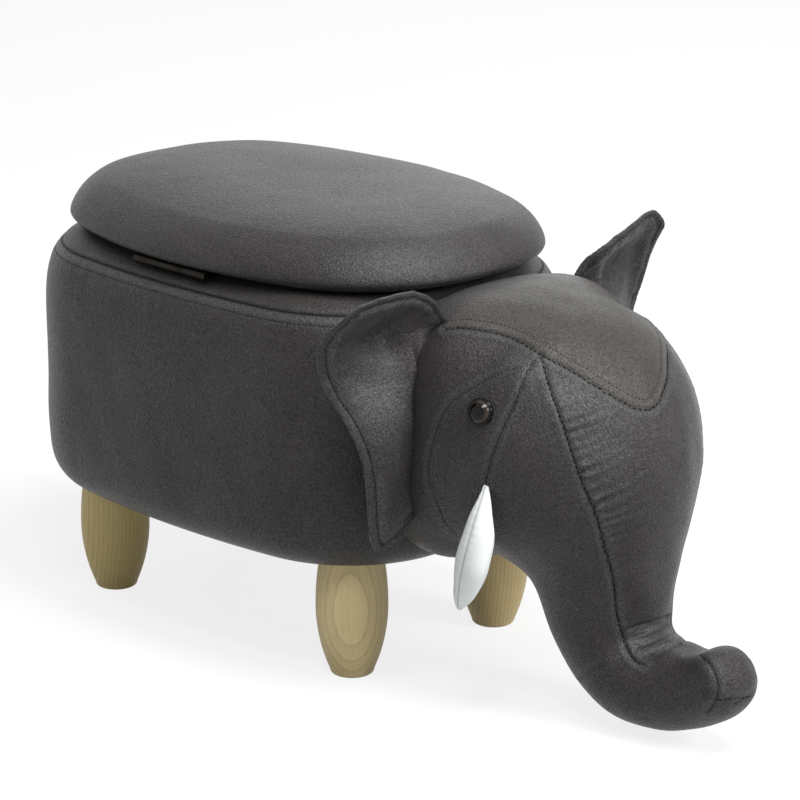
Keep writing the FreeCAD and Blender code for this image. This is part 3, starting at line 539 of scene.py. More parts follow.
def thread(name, dark, light):
    """Twisted sewing thread."""
    made = Shader(name)
    twist = made.bands(520.0, 0.3, "DIAGONAL")
    made.set(made.finish, {
        "Base Color": made.ramp(twist, (0.1, dark), (0.9, light)),
        "Roughness": made.span(twist, 0.60, 0.80),
        "Specular IOR Level": 0.06,
        "Normal": made.bump(twist, 0.0001),
    })
    return made.material


def eye_gloss(name):
    """Black moulded eye with a brown depth near its rim."""
    made = Shader(name)
    blots = made.noise(0.003)
    colour = made.mix(made.attribute("rubbed"), (0.0010, 0.0010, 0.0010), (0.032, 0.024, 0.018))
    colour = made.mix(made.span(blots, 0.0, 0.2), colour, (0.004, 0.004, 0.004))
    made.set(made.finish, {
        "Base Color": colour, "Roughness": made.span(blots, 0.03, 0.07), "Specular IOR Level": 0.22,
    })
    return made.material


# The last colour of each hide is the paler, bluish colour of its painted sheen and wear
HIDE = leather("hide", (0.0172, 0.0154, 0.0145), (0.0280, 0.0256, 0.0243), (0.110, 0.113, 0.124), 0.40)
CROWN_HIDE = leather(
    "crown_hide", (0.0275, 0.0252, 0.0226), (0.0400, 0.0372, 0.0340), (0.118, 0.113, 0.104), 0.42,
)
TUSK_HIDE = leather("tusk_hide", (0.65, 0.680, 0.675), (0.69, 0.720, 0.715), (0.72, 0.74, 0.73), 0.45, 0.06)
THREAD = thread("dark_thread", (0.003, 0.003, 0.003), (0.009, 0.008, 0.008))
PALE_THREAD = thread("pale_thread", (0.42, 0.44, 0.44), (0.60, 0.62, 0.62))
BOARD = board("board")
STEEL = metal("steel", (0.42, 0.42, 0.43), (0.62, 0.62, 0.63), 0.34)
# Painted shade: the hinge's bronze is darkened to stand in for the shade under the lid
SHADED_BRONZE = metal("hinge_bronze_painted_shade", (0.012, 0.010, 0.008), (0.030, 0.026, 0.021), 0.42)
LINING = cloth("lining_cloth", (0.020, 0.020, 0.021), (0.045, 0.044, 0.044), 0.0012)
DUST = cloth("dust_cloth", (0.010, 0.010, 0.010), (0.028, 0.028, 0.028), 0.0020)
EYE = eye_gloss("eye_plastic")

# Place along a stitch, girth and lift of its rings
STITCH_RINGS = [
    (-0.5, 0.0, -1.1), (-0.42, 0.75, -0.5), (-0.2, 1.0, 0.1), (0.2, 1.0, 0.1), (0.42, 0.75, -0.5),
    (0.5, 0.0, -1.1),
]
STITCH_SIDES = 6


def stitches(name, lines, tree, radius, pitch=0.0031, length=0.0023, material=THREAD, slot="hide"):
    """Rows of short threads that lie on a surface of the stool, along lines of points."""
    points = []
    faces = []
    for line in lines:
        at = np.arange(pitch / 2, along(line)[-1], pitch)
        for spot, ahead in zip(points_at(line, at), points_at(line, at + pitch / 2)):
            found, normal, *_ = tree.find_nearest(Vector(spot))
            normal = np.array(normal)
            forward = ahead - spot
            forward -= normal * (forward @ normal)
            if np.linalg.norm(forward) < 1e-9:
                continue
            forward /= np.linalg.norm(forward)
            across = np.cross(normal, forward)
            start = len(points)
            for shift, girth, lift in STITCH_RINGS:
                middle = np.array(found) + forward * shift * length + normal * lift * radius
                for turn in np.linspace(0, math.tau, STITCH_SIDES, endpoint=False):
                    ring = across * math.cos(turn) + normal * math.sin(turn)
                    points.append(middle + ring * radius * max(girth, 0.15))
            faces += [[start + k for k in face] for face in quads(len(STITCH_RINGS), STITCH_SIDES)]
            faces.append([start + k for k in reversed(range(STITCH_SIDES))])
            faces.append([len(points) - STITCH_SIDES + k for k in range(STITCH_SIDES)])
    return piece(name, np.array(points), faces, material, "stool", slot)


# The box
side_pairs = [(FOOT_INSET * i, BODY_LOW + BODY_TALL * h) for h, i in FOOT_SHARES]
side_pairs += [(SHOULDER_INSET * i, BODY_LOW + BODY_TALL * h) for h, i in SHOULDER_SHARES]
BODY_SIDE = smooth_line(side_pairs, 0.0013)
BODY_COUNT = 520
body_points, body_normals = oval(BODY, BODY_COUNT)


def body_inset(level):
    """How far the box's side lies within its widest outline at a height."""
    return np.interp(level, BODY_SIDE[:, 1], BODY_SIDE[:, 0])


def body_front(y, level):
    """How far forward the box reaches at a place across and a height."""
    inset = body_inset(level)
    forward = np.full(len(y), -1.0)
    ring = np.flatnonzero(body_points[:, 0] > 0)
    ring = ring[np.argsort(body_points[ring, 1])]
    for step in np.unique(np.round(inset, 4)):
        here = np.abs(inset - step) <= 0.00005
        line = body_points[ring] - step * body_normals[ring]
        forward[here] = np.interp(y[here], line[:, 1], line[:, 0], left=-1.0, right=-1.0)
    forward[(level < BODY_LOW) | (level > BODY_LOW + BODY_TALL)] = -1.0
    return forward + MIDDLE[0]


SEAM_LEVEL = 0.2900
TOPSTITCH_LEVEL = 0.2835
over = smooth_line([(0.0300, 0.3000), (0.0330, 0.3010), (0.0380, 0.3015), (0.0535, 0.3015)], 0.0016)[1:]
inside = np.array([
    (0.0540, 0.3012), (0.0540, 0.3002), (0.0338, 0.3002), (0.0337, 0.2879), (0.0297, 0.2877),
    (0.0297, 0.1084), (0.0257, 0.1082), (0.0257, 0.0952),
])
body_profile = np.vstack([BODY_SIDE, over, inside])
rows = swept(body_points, body_normals, body_profile)
flat = rows.reshape(-1, 3)
level = np.repeat(body_profile[:, 1], BODY_COUNT)
outward = np.broadcast_to(np.c_[body_normals, np.zeros(BODY_COUNT)], rows.shape).reshape(-1, 3)
row = np.repeat(np.arange(len(body_profile)), BODY_COUNT)
on_side = row < len(BODY_SIDE)
seam_gap = np.abs(level - SEAM_LEVEL)
stitch_gap = np.abs(level - TOPSTITCH_LEVEL)
turn = np.tile(np.arange(BODY_COUNT) / BODY_COUNT, len(body_profile))
pucker = np.sin(math.tau * 74 * turn + 1.7 * np.sin(math.tau * 9 * turn))
pucker *= 0.6 + 0.4 * np.sin(math.tau * 13 * turn)
swell = 0.0006 * waves(flat, 0.130, 3) + 0.00012 * waves(flat, 0.045, 4)
swell *= fade(level, 0.100, 0.140) * (1 - fade(level, 0.262, 0.292))
groove = -0.0011 * hill(seam_gap, 0.0014) - 0.0004 * hill(stitch_gap, 0.0011)
groove += 0.00022 * pucker * hill(level - 0.278, 0.010)
flat = flat + outward * ((swell + groove) * on_side)[:, None]
# Dark seam and topstitch lines, partly painted shade in their grooves
body_seam = np.maximum(hill(seam_gap, 0.0009), 0.30 * hill(stitch_gap, 0.0007)) * on_side
# Painted sheen and wear: a paler band just under the shoulder seam
body_sheen_and_wear = 0.30 * hill(level - 0.2865, 0.0035) * on_side
body_upholstery = piece(
    "body_upholstery", flat, quads(len(body_profile), BODY_COUNT, True), HIDE, "stool", "hide",
    seam=body_seam, rubbed=body_sheen_and_wear,
)
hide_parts("body_cover", "wall_foam", "rim_cover")
body_tree = surface(body_upholstery)


def body_line(height):
    """A line round the box at one height."""
    inset = body_inset(height)
    line = np.c_[body_points - inset * body_normals, np.full(BODY_COUNT, height)] + MIDDLE
    return np.vstack([line, line[:1]])


stitches("body_stitches", [body_line(TOPSTITCH_LEVEL)], body_tree, 0.00028)
stitches("body_seam_stitches", [body_line(SEAM_LEVEL)], body_tree, 0.00030, pitch=0.0026, length=0.0024)

# The lid
LID_COUNT = 480
LEAF_HALF = 0.0420
LEAF_INNER = -0.0975
LEAF_TOP = LID_LOW + 0.0018
LEAF_EASE = 0.004
LID_ROOM = 0.0113
CROWN_RISE = 0.0012
# Middle of the painted highlight on the lid's front edge
LID_SHEEN = np.array([0.0361, -0.0550, 0.321])
lid_points, lid_normals = oval(LID, LID_COUNT)
lid_pairs = [(LID_TUCK * i, LID_LOW + LID_TALL * h) for h, i in TUCK_SHARES]
lid_pairs += [(LID["width"] / 2 * i, LID_LOW + LID_TALL * h) for h, i in CROWN_SHARES]
lid_side = smooth_line(lid_pairs, 0.0022)
lid_rows = swept(lid_points, lid_normals, lid_side)
rounder = swept(*oval(CUSHION, LID_COUNT), lid_side) + CUSHION_SHIFT
lid_rows += fade(lid_side[:, 1], LID_LOW, LID_LOW + 0.006)[:, None, None] * (rounder - lid_rows)
shrink = np.linspace(1, 0, 26)[1:-1]
top = lid_rows[-1] - MIDDLE - CUSHION_SHIFT
crown = [top * (s, s, 1) + MIDDLE + CUSHION_SHIFT + (0, 0, CROWN_RISE * (1 - s * s)) for s in shrink]
under = swept(lid_points, lid_normals, np.array([
    (0.0277, LID_LOW + LID_ROOM), (0.0277, LID_LOW + 0.0012),
    (0.0258, LID_LOW + 0.0011), (0.0258, LID_LOW + 0.0001),
]))
lid_grid = np.concatenate([under, lid_rows, np.array(crown)])
lid_flat = lid_grid.reshape(-1, 3)
local = lid_flat - MIDDLE
face = grid_normals(lid_grid).reshape(-1, 3)
swell = 0.0003 * waves(lid_flat, 0.120, 11) + 0.0001 * waves(lid_flat, 0.040, 12)
swell *= fade(np.linalg.norm(local[:, :2], axis=1), 0.0, 0.05)
swell *= fade(lid_flat[:, 2], LID_LOW + 0.003, LID_LOW + 0.020)
lid_flat = lid_flat + face * swell[:, None] * np.sign((face * (local - (0, 0, 0.32))).sum(1))[:, None]
in_leaf = (np.abs(local[:, 0]) < LEAF_HALF + LEAF_EASE) & (local[:, 1] < LEAF_INNER)
lift = np.where(in_leaf, np.maximum(lid_flat[:, 2], LEAF_TOP), lid_flat[:, 2])
share = 1 - fade(np.abs(local[:, 0]), LEAF_HALF, LEAF_HALF + LEAF_EASE)
lid_flat[:, 2] += (lift - lid_flat[:, 2]) * share
# Painted highlight: a soft pale patch on the lid's front edge
lid_painted_sheen = 0.32 * hill(np.linalg.norm((lid_flat - LID_SHEEN) / (0.040, 0.040, 0.014), axis=1), 1.0)
crown_top = LID_LOW + CROWN_SHARES[-1][0] * LID_TALL + CROWN_RISE
lid_poles = np.array([MIDDLE + (0, 0, LID_LOW + LID_ROOM), MIDDLE + CUSHION_SHIFT + (0, 0, crown_top)])
lid_cushion = piece(
    "lid_cushion", np.vstack([lid_flat, lid_poles]), capped(len(lid_grid), LID_COUNT), HIDE, "lid", "hide",
    seam=np.zeros(len(lid_flat)), rubbed=lid_painted_sheen,
)
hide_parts("lid_cover", "lid_foam")


# Linings: flat cloths cut to an outline, and the wall of the storage room
def cut_cloth(name, outline, holes, level, material, body, wrinkle, seed):
    """A thin cloth inside an outline, with holes, lightly puckered."""
    spacing = 0.008
    low, high = outline.min(0), outline.max(0)
    grid_x, grid_y = np.meshgrid(np.arange(low[0], high[0], spacing), np.arange(low[1], high[1], spacing))
    seeds = np.c_[grid_x.ravel(), grid_y.ravel()]
    loops = [outline, *holes]
    keep = within(seeds, outline)
    for line in loops:
        closed = np.vstack([line, line[:1]])
        dense = points_at(closed, np.linspace(0, along(closed)[-1], 600))
        keep &= np.linalg.norm(seeds[:, None] - dense[None], axis=2).min(1) > spacing * 0.5
    for hole in holes:
        keep &= ~within(seeds, hole)
    flat_points = np.vstack([*loops, seeds[keep]])
    edges = []
    start = 0
    for line in loops:
        edges += [(start + k, start + (k + 1) % len(line)) for k in range(len(line))]
        start += len(line)
    found, _, triangles, *_ = delaunay_2d_cdt([Vector(p) for p in flat_points], edges, [], 1, 1e-7)
    spots = np.array(found)
    triangles = np.array(triangles)
    middles = spots[triangles].mean(1)
    for hole in holes:
        triangles = triangles[~within(middles, hole)]
        middles = spots[triangles].mean(1)
    points = np.c_[spots, np.full(len(spots), level)] + MIDDLE
    points[:, 2] += wrinkle * waves(points, 0.05, seed)
    return piece(name, points, triangles.tolist(), material, body, "lining")


def within(points, loop):
    """Which points lie inside a closed loop."""
    x, y = points[:, :1], points[:, 1:]
    a, b = loop, np.roll(loop, -1, 0)
    crosses = (a[:, 1] > y) != (b[:, 1] > y)
    run = np.where(b[:, 1] == a[:, 1], 1e-12, b[:, 1] - a[:, 1])
    return (crosses & (x < (b[:, 0] - a[:, 0]) * (y - a[:, 1]) / run + a[:, 0])).sum(1) % 2 == 1


def inset_loop(points, normals, inset, keep):
    """An oval drawn in by an inset, with one of every few points kept."""
    return (points - inset * normals)[::keep]


CLOTH_INSET = 0.0262
CLOTH_LIFT = 0.0005
lid_loop = inset_loop(lid_points, lid_normals, CLOTH_INSET, 3)
at_leaf = np.flatnonzero((np.abs(lid_loop[:, 0]) < LEAF_HALF - 0.001) & (lid_loop[:, 1] < LEAF_INNER))
notch = np.array([(-LEAF_HALF, LEAF_INNER), (LEAF_HALF, LEAF_INNER)])
lid_loop = np.vstack([lid_loop[:at_leaf[0]], notch, lid_loop[at_leaf[-1] + 1:]])
lid_lining = cut_cloth("lid_lining_cloth", lid_loop, [], LID_LOW + CLOTH_LIFT, LINING, "lid", 0.00012, 21)
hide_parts("lid_lining")

LEG_X = 0.137
LEG_Y = 0.077
BOLT_HOLE = 0.0045
around = np.linspace(0, math.tau, 16, endpoint=False)
bolt_holes = [
    np.c_[a * LEG_X + BOLT_HOLE * np.cos(around), b * LEG_Y + BOLT_HOLE * np.sin(around)]
    for a in (1, -1)
    for b in (1, -1)
]
dust_loop = inset_loop(body_points, body_normals, CLOTH_INSET, 3)
dust = cut_cloth("dust_cloth", dust_loop, bolt_holes, BODY_LOW + CLOTH_LIFT, DUST, "stool", 0.00012, 22)
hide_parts("dust_cover")

LINING_INSET = 0.0407
LINING_LOW = 0.1084
LINING_HIGH = 0.2875
base_loop = inset_loop(body_points, body_normals, LINING_INSET + 0.0004, 4)
lining_base = cut_cloth("lining_base", base_loop, [], LINING_LOW, LINING, "stool", 0.00008, 23)
WALL_ROWS = 46
wall_profile = np.c_[np.full(WALL_ROWS, LINING_INSET), np.linspace(LINING_LOW, LINING_HIGH, WALL_ROWS)]
wall_rows = swept(body_points[::2], body_normals[::2], wall_profile)
wall_flat = wall_rows.reshape(-1, 3)
ripple = 0.0003 * (1 + waves(wall_flat * (1, 1, 0.25), 0.030, 24))
ripple *= fade(wall_flat[:, 2], LINING_LOW, 0.13) * (1 - fade(wall_flat[:, 2], 0.27, LINING_HIGH))
inward = np.tile(np.c_[-body_normals[::2], np.zeros(BODY_COUNT // 2)], (WALL_ROWS, 1))
wall_points = wall_flat + inward * np.clip(ripple, 0, 0.001)[:, None]
wall_faces = quads(WALL_ROWS, BODY_COUNT // 2)
lining_wall = piece("lining_wall", wall_points, wall_faces, LINING, "stool", "lining")
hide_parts("storage_lining")
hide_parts("storage_lining")

# The head and trunk
HEAD_ROWS = 430
HEAD_COUNT = 560
shares = np.array(RING_SHARES, float)
rings = np.c_[
    BODY_FRONT + TRUNK_REACH * shares[:, 0],
    HEAD_HEIGHT * shares[:, 1],
    np.radians(shares[:, 2]),
    HEAD_HEIGHT * shares[:, 3],
    HEAD_WIDTH * shares[:, 4],
]
ring_places = along(rings[:, :2])
fine = spline(ring_places, rings, np.linspace(0, ring_places[-2], HEAD_ROWS))
tip = fine[-1]
# The tip closes as part of an ellipse that goes on with the slope of the last rings
first_turn = math.radians(20)
slope = (fine[-2, 3] - fine[-1, 3]) / np.linalg.norm(fine[-1, :2] - fine[-2, :2])
long_half = tip[3] / math.cos(first_turn) * math.tan(first_turn) / slope
dome = np.linspace(first_turn, math.pi / 2, 22)[1:-1]
reach = long_half * (np.sin(dome) - math.sin(first_turn))
TIP_DOME = long_half * (1 - math.sin(first_turn))
narrowed = np.cos(dome) / math.cos(first_turn)
domed = np.c_[
    tip[0] + reach * math.cos(tip[2]), tip[1] - reach * math.sin(tip[2]), np.full(len(dome), tip[2]),
    tip[3] * narrowed, tip[4] * narrowed,
]
fine = np.vstack([fine, domed])
angles = np.linspace(0, math.tau, HEAD_COUNT, endpoint=False)
up = np.c_[np.sin(fine[:, 2]), np.zeros(len(fine)), np.cos(fine[:, 2])]
centres = np.c_[fine[:, 0], np.zeros(len(fine)), fine[:, 1]]


def squareness(x):
    """The power of the rings: squarer than an ellipse beside the ears."""
    return 2 + 1.2 * (1 - fade(x, BODY_FRONT + 0.018, BODY_FRONT + 0.062))


power = 2 / squareness(fine[:, 0])[:, None]
rise = np.sign(np.cos(angles)) * np.abs(np.cos(angles)) ** power
aside = np.sign(np.sin(angles)) * np.abs(np.sin(angles)) ** power
head_grid = centres[:, None] + up[:, None] * (fine[:, 3, None] * rise)[:, :, None]
head_grid = head_grid + LEFTWARD * (fine[:, 4, None] * aside)[:, :, None]
head_grid = head_grid[:, ::-1]
head_base = head_grid.reshape(-1, 3)
head_out = grid_normals(head_grid).reshape(-1, 3)
head_out *= np.sign((head_out * (head_grid - centres[:, None]).reshape(-1, 3)).sum(1))[:, None]
head_faces = quads(len(fine), HEAD_COUNT)
bare_tree = BVHTree.FromPolygons(head_base.tolist(), head_faces)

turn_a, turn_e = math.radians(AZIMUTH), math.radians(ELEVATION)
cam_right = np.array([math.cos(turn_a), math.sin(turn_a), 0])
cam_back = np.array([
    math.sin(turn_a) * math.cos(turn_e),
    -math.cos(turn_a) * math.cos(turn_e),
    math.sin(turn_e),
])
cam_up = np.cross(cam_back, cam_right)
cam_place = TARGET + cam_back * DISTANCE
cam_scale = LENS / SENSOR * PHOTO_SIDE


def seen(tree, pixels):
    """Points of a surface under pixels of the photograph."""
    hits = []
    for u, v in pixels:
        across = cam_right * (u - PHOTO_SIDE / 2) / cam_scale
        down = cam_up * (v - PHOTO_SIDE / 2) / cam_scale
        hit = tree.ray_cast(Vector(cam_place), Vector(across - down - cam_back).normalized())[0]
        if hit is not None:
            hits.append(np.array(hit))
    return np.array(hits)


def on_head(pixels):
    """A smooth line on the head through pixels of the photograph, and its mirror image."""
    line = smooth_line(seen(bare_tree, pixels), 0.001)
    line = np.array([bare_tree.find_nearest(Vector(p))[0] for p in line])
    return line, line * (1, -1, 1)


def beside(line, gap):
    """A line at a distance beside another on the head."""
    step = np.gradient(line, axis=0)
    moved = []
    for spot, ahead in zip(line, step):
        normal = np.array(bare_tree.find_nearest(Vector(spot))[1])
        across = np.cross(normal, ahead)
        moved.append(spot + gap * across / np.linalg.norm(across))
    return np.array(moved)


cap_points = seen(bare_tree, CAP_SEAM)
cap_points = np.vstack([cap_points, (cap_points[:CAP_APEX] * (1, -1, 1))[::-1]])
cap_seam = smooth_line(cap_points, 0.001)
cap_seam = np.array([bare_tree.find_nearest(Vector(p))[0] for p in cap_seam])
seams = {
    "cap": [cap_seam],
    "tusk": list(on_head(TUSK_SEAM)),
    "trunk": list(on_head(TRUNK_SEAM)),
    "cheek": list(on_head(CHEEK_SEAM)),
    "tip": list(on_head(TIP_SEAM)),
    "tip_join": list(on_head(TIP_JOIN)),
}
fold_lines = [(depth, line) for depth, pixels in FOLDS for line in on_head(pixels)]

sink = np.zeros(len(head_base))
dark_seam = np.zeros(len(head_base))
rubbed = np.zeros(len(head_base))
for name, lines in seams.items():
    depth, ink = SEAM_LOOKS[name]
    for line in lines:
        gap, _ = near_line(head_base, line, 0.030)
        sink -= depth * hill(gap, 0.0011)
        sink += 0.40 * depth * hill(gap - 0.0045, 0.0026)
        # Dark line along each seam, partly painted shade in its groove
        dark_seam = np.maximum(dark_seam, ink * hill(gap, 0.0006))
        # Painted highlight on the puffed leather either side of each seam
        rubbed = np.maximum(rubbed, 0.22 * hill(gap - 0.0035, 0.0020))
for line in seams["trunk"]:
    gap, place = near_line(head_base, line, 0.045)
    side = np.sign(line[:, 1].mean())
    front = side * head_base[:, 1] < side * np.interp(place, along(line), line[:, 1])
    window = fade(place, 0.030, 0.060) * (1 - fade(place, 0.125, 0.160))
    crumple = np.sin(math.tau * place / 0.0078 + 1.4 * np.sin(place / 0.011))
    crumple += 0.5 * np.sin(math.tau * place / 0.0051)
    crumple *= 0.70 + 0.30 * np.sin(math.tau * place / 0.027)
    height = 0.0018 if side < 0 else 0.00015
    gather = height * crumple * window * np.exp(-gap / 0.015) * fade(gap, 0.0, 0.003)
    gather *= np.where(front, 1.0, 0.12)
    sink += gather
    # Painted highlight on the ridges of the gathers
    rubbed = np.maximum(rubbed, np.clip(gather / 0.0013, 0, 0.45))
fold = np.zeros(len(head_base))
for depth, line in fold_lines:
    gap, place = near_line(head_base, line, 0.030)
    full = along(line)[-1]
    shown = fade(place, 0.0, 0.35 * full) * (1 - 0.75 * fade(place, 0.70 * full, full))
    fold = np.maximum(fold, depth * shown * (0.65 * hill(gap, 0.0016) + 0.35 * hill(gap, 0.0060)))
    # Painted shade along the bottom of each fold
    dark_seam = np.maximum(dark_seam, 160 * depth * hill(gap, 0.0009) * shown)
    # Painted highlight on the leather beside each fold
    rubbed = np.maximum(rubbed, 0.25 * hill(gap - 0.0032, 0.0014) * shown)
sink -= fold
for pixel, height, wide in SWELLS:
    spot = seen(bare_tree, [pixel])[0]
    for side in (1, -1):
        sink += height * hill(np.linalg.norm(head_base - spot * (1, side, 1), axis=1), wide)
# Painted sheen: pale patches on the face and trunk
for pixel, wide, much in PAINTED_SHEEN_PLACES:
    spot = seen(bare_tree, [pixel])[0]
    for side in (1, -1):
        gap = np.linalg.norm(head_base - spot * (1, side, 1), axis=1)
        rubbed = np.maximum(rubbed, much * hill(gap, wide))
sink += 0.0005 * waves(head_base, 0.075, 31) + 0.0002 * waves(head_base, 0.032, 32)
skin = head_base + head_out * sink[:, None]

# The back of the head lies on the box
HEAD_REST = 0.0016
shut = np.linspace(1, 0, 14)[1:-1]
back_ring = skin[:HEAD_COUNT]
back_middle = np.array([0, centres[0, 2]])
backs = np.concatenate([
    np.c_[back_ring[:, :1], back_middle + (back_ring[:, 1:] - back_middle) * s] for s in shut[::-1]
])
skin = np.vstack([backs, skin])
pad_rows = len(shut)
reached = body_front(skin[:, 1], np.clip(skin[:, 2], BODY_LOW, None)) + HEAD_REST
skin[:, 0] = np.maximum(skin[:, 0], reached)
poles = np.array([
    (body_front(np.zeros(1), np.array([centres[0, 2]]))[0] + HEAD_REST, 0, centres[0, 2]),
    (tip[0] + TIP_DOME * math.cos(tip[2]), 0, tip[1] - TIP_DOME * math.sin(tip[2])),
])
extra = np.zeros(pad_rows * HEAD_COUNT)
head_skin = piece(
    "head_skin", np.vstack([skin, poles]), capped(len(fine) + pad_rows, HEAD_COUNT), HIDE, "stool", "hide",
    seam=np.r_[extra, dark_seam], rubbed=np.r_[extra, rubbed],
)
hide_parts("head_cover", "head_filling", "trunk_cover", "trunk_tip", "trunk_filling")
head_tree = surface(head_skin)

# The cap over the forehead is cut from a lighter hide
CAP_LOW = 0.215
cap_plan = cap_seam[:, :2]
head_skin.data.materials.append(CROWN_HIDE)
for face_ in head_skin.data.polygons:
    spot = np.array([face_.center[:2]])
    if face_.center[2] > CAP_LOW and spot[0, 0] > cap_plan[:, 0].min() - 0.02 and within(spot, cap_plan)[0]:
        face_.material_index = 1

head_lines = [line for name in ("cap", "trunk") for line in seams[name]]
stitches("head_stitches", head_lines, head_tree, 0.00044, pitch=0.0042, length=0.0032)
thin_lines = [line for name in ("tusk", "tip", "tip_join") for line in seams[name]]
stitches("thin_stitches", thin_lines, head_tree, 0.00028, pitch=0.0036, length=0.0030)
stitches("cap_topstitches", [beside(cap_seam, 0.0075)], head_tree, 0.00026)
cheek_rows = [beside(line, gap) for line in seams["cheek"] for gap in (0.0, 0.0040)]
stitches("cheek_stitches", cheek_rows, head_tree, 0.00022)

# Ears
EAR_ROWS = 110
EAR_COUNT = 260
EAR_HALF = 0.0035
EAR_HEM = 0.0052
EAR_BLUR = 9
ear_at = np.linspace(EAR_TOP[0, 0], EAR_TIP, 500)
soft = np.hanning(2 * EAR_BLUR + 1) / np.hanning(2 * EAR_BLUR + 1).sum()
ear_edges = []
for table in (EAR_TOP, EAR_LOW):
    edge = np.pad(np.interp(ear_at, *table.T), EAR_BLUR, mode="reflect", reflect_type="odd")
    ear_edges.append(np.convolve(edge, soft, mode="valid"))


def ear_strip(share):
    """Middle height and half height of an ear at shares of its length."""
    high, low = [np.interp(share, ear_at, edge) for edge in ear_edges]
    return (high + low) / 2, np.maximum(high - low, 0.001) / 2


def in_head(x, y, z):
    """Below 1 inside the head, near where the ears stand."""
    level, high, wide = [np.interp(x, fine[:150, 0], fine[:150, k]) for k in (1, 3, 4)]
    power = squareness(x)
    return np.abs((z - level) / high) ** power + np.abs(y / wide) ** power


# Height and depth of the ear's cup: a hood at the top, a hollow under it and a swell at the middle
EAR_CUP = np.array([
    (0.120, -0.008), (0.140, -0.0055), (0.170, -0.001), (0.205, 0.003), (0.228, 0.0050), (0.250, 0.002),
    (0.272, -0.008), (0.288, -0.0160), (0.299, -0.0130), (0.309, -0.0015), (0.317, 0.0050), (0.326, 0.0070),
    (0.345, 0.0070),
])


def ear_sheet(share, t):
    """Points of an ear's middle sheet, cupped between its edges."""
    middle, half = ear_strip(share)
    z = middle + half * t
    y = EAR_ROOT + EAR_LENGTH * share
    rim = middle + half
    level = z + (EAR_CREST - rim) * fade(z, rim - 0.045, rim - 0.010) * (1 - fade(share, 0.3, 0.6))
    cup = spline(EAR_CUP[:, 0], EAR_CUP[:, 1:], level)[:, 0]
    hollow = np.where(cup < 0, 0.30 + 0.70 * fade(share, -0.02, 0.22), 1.0)
    cup *= hollow * (1 - 0.70 * fade(share, 0.25, 0.85))
    swept_back = np.interp(z, *EAR_SWEEP.T) * np.maximum(share, 0) ** 1.5
    return np.column_stack([BODY_FRONT + EAR_STAND - swept_back + cup, y, z])


around_ear = np.linspace(0, math.tau, EAR_COUNT, endpoint=False)
t_round = np.cos(around_ear)
face_sign = np.sign(np.sin(around_ear))
starts = np.full(EAR_COUNT, EAR_TIP)
for trial in np.linspace(EAR_TIP, EAR_TOP[0, 0], 200):
    spots = ear_sheet(np.full(EAR_COUNT, trial), t_round)
    free = in_head(*spots.T) > 0.97
    starts = np.where(free & (np.abs(starts - trial) < 0.02), trial, starts)
starts = np.maximum(starts, -0.02 - 0.6 * fade(t_round, 0.60, 0.70))
edge_t = np.linspace(-1, 1, 41)
edge_share = np.linspace(0.0, EAR_TIP, 80)
top_edge = ear_sheet(edge_share, np.ones(80))
low_edge = ear_sheet(edge_share, -np.ones(80))
tip_edge = ear_sheet(np.full(41, EAR_TIP), edge_t[::-1])
root_top = ear_sheet(np.linspace(starts[0], 0.0, 20), np.ones(20))[:-1]
root_low = ear_sheet(np.linspace(0.0, starts[EAR_COUNT // 2], 20), -np.ones(20))[1:]
ear_edge = np.vstack([root_top, top_edge, tip_edge[1:-1], low_edge[::-1], root_low])
ear_edge = smooth_line(ear_edge[::4], 0.0015)
ear_rows = []
for step in np.linspace(0, 1, EAR_ROWS):
    share = starts + (EAR_TIP - starts) * step
    ear_rows.append(ear_sheet(share, t_round))
ear_grid = np.array(ear_rows)
ear_flat = ear_grid.reshape(-1, 3)
gap, place = near_line(ear_flat, ear_edge, 0.2)
half_thick = EAR_HALF * (0.42 + 0.58 * fade(gap, 0.0035, 0.012))
half_thick *= np.sqrt(np.clip(1 - np.exp(-gap / 0.0008), 0, 1))
half_thick -= 0.0005 * hill(gap - EAR_HEM, 0.0013)
bulge = 0.0016 * waves(ear_flat, 0.060, 41) + 0.0007 * waves(ear_flat, 0.026, 42)
bulge *= fade(gap, 0.004, 0.030)
crease = 0.0005 * np.sin(math.tau * place / 0.016) * hill(gap - 0.010, 0.007)
ear_flat = ear_flat.copy()
ear_flat[:, 0] += np.tile(face_sign, EAR_ROWS) * np.maximum(half_thick, 0.0) + bulge + crease
# Dark line along the hem stitching
ear_seam = 0.40 * hill(gap - EAR_HEM, 0.0007)
# Paler bands along the rim and inside the hem: painted sheen and edge wear
ear_sheen_and_wear = 0.22 * hill(gap - 0.0085, 0.0030) + 0.15 * hill(gap, 0.0020)
# Painted highlight: a pale patch in the middle of the ear
ear_middle = np.linalg.norm((ear_flat - (0.1, 0.136, 0.240))[:, 1:] / (0.021, 0.030), axis=1)
ear_sheen_and_wear = np.maximum(ear_sheen_and_wear, 0.62 * hill(ear_middle, 1.0))
# Painted shade where the ear meets the head
ear_seam = np.maximum(ear_seam, 0.7 * hill(in_head(*ear_grid.reshape(-1, 3).T) - 1, 0.06))
root_pole = ear_grid[0].mean(0)
tip_pole = ear_grid[-1].mean(0) + (0, 0.0004, 0)
inner_edge = []
for spot, step in zip(ear_edge, np.gradient(ear_edge, axis=0)):
    across = np.array([0, -step[2], step[1]])
    across = across / np.linalg.norm(across)
    inner_edge.append(spot + EAR_HEM * across * np.sign((np.array([0, 0.120, 0.225]) - spot) @ across))
inner_edge = np.array(inner_edge)
inner_edge = inner_edge[in_head(*inner_edge.T) > 1.0]


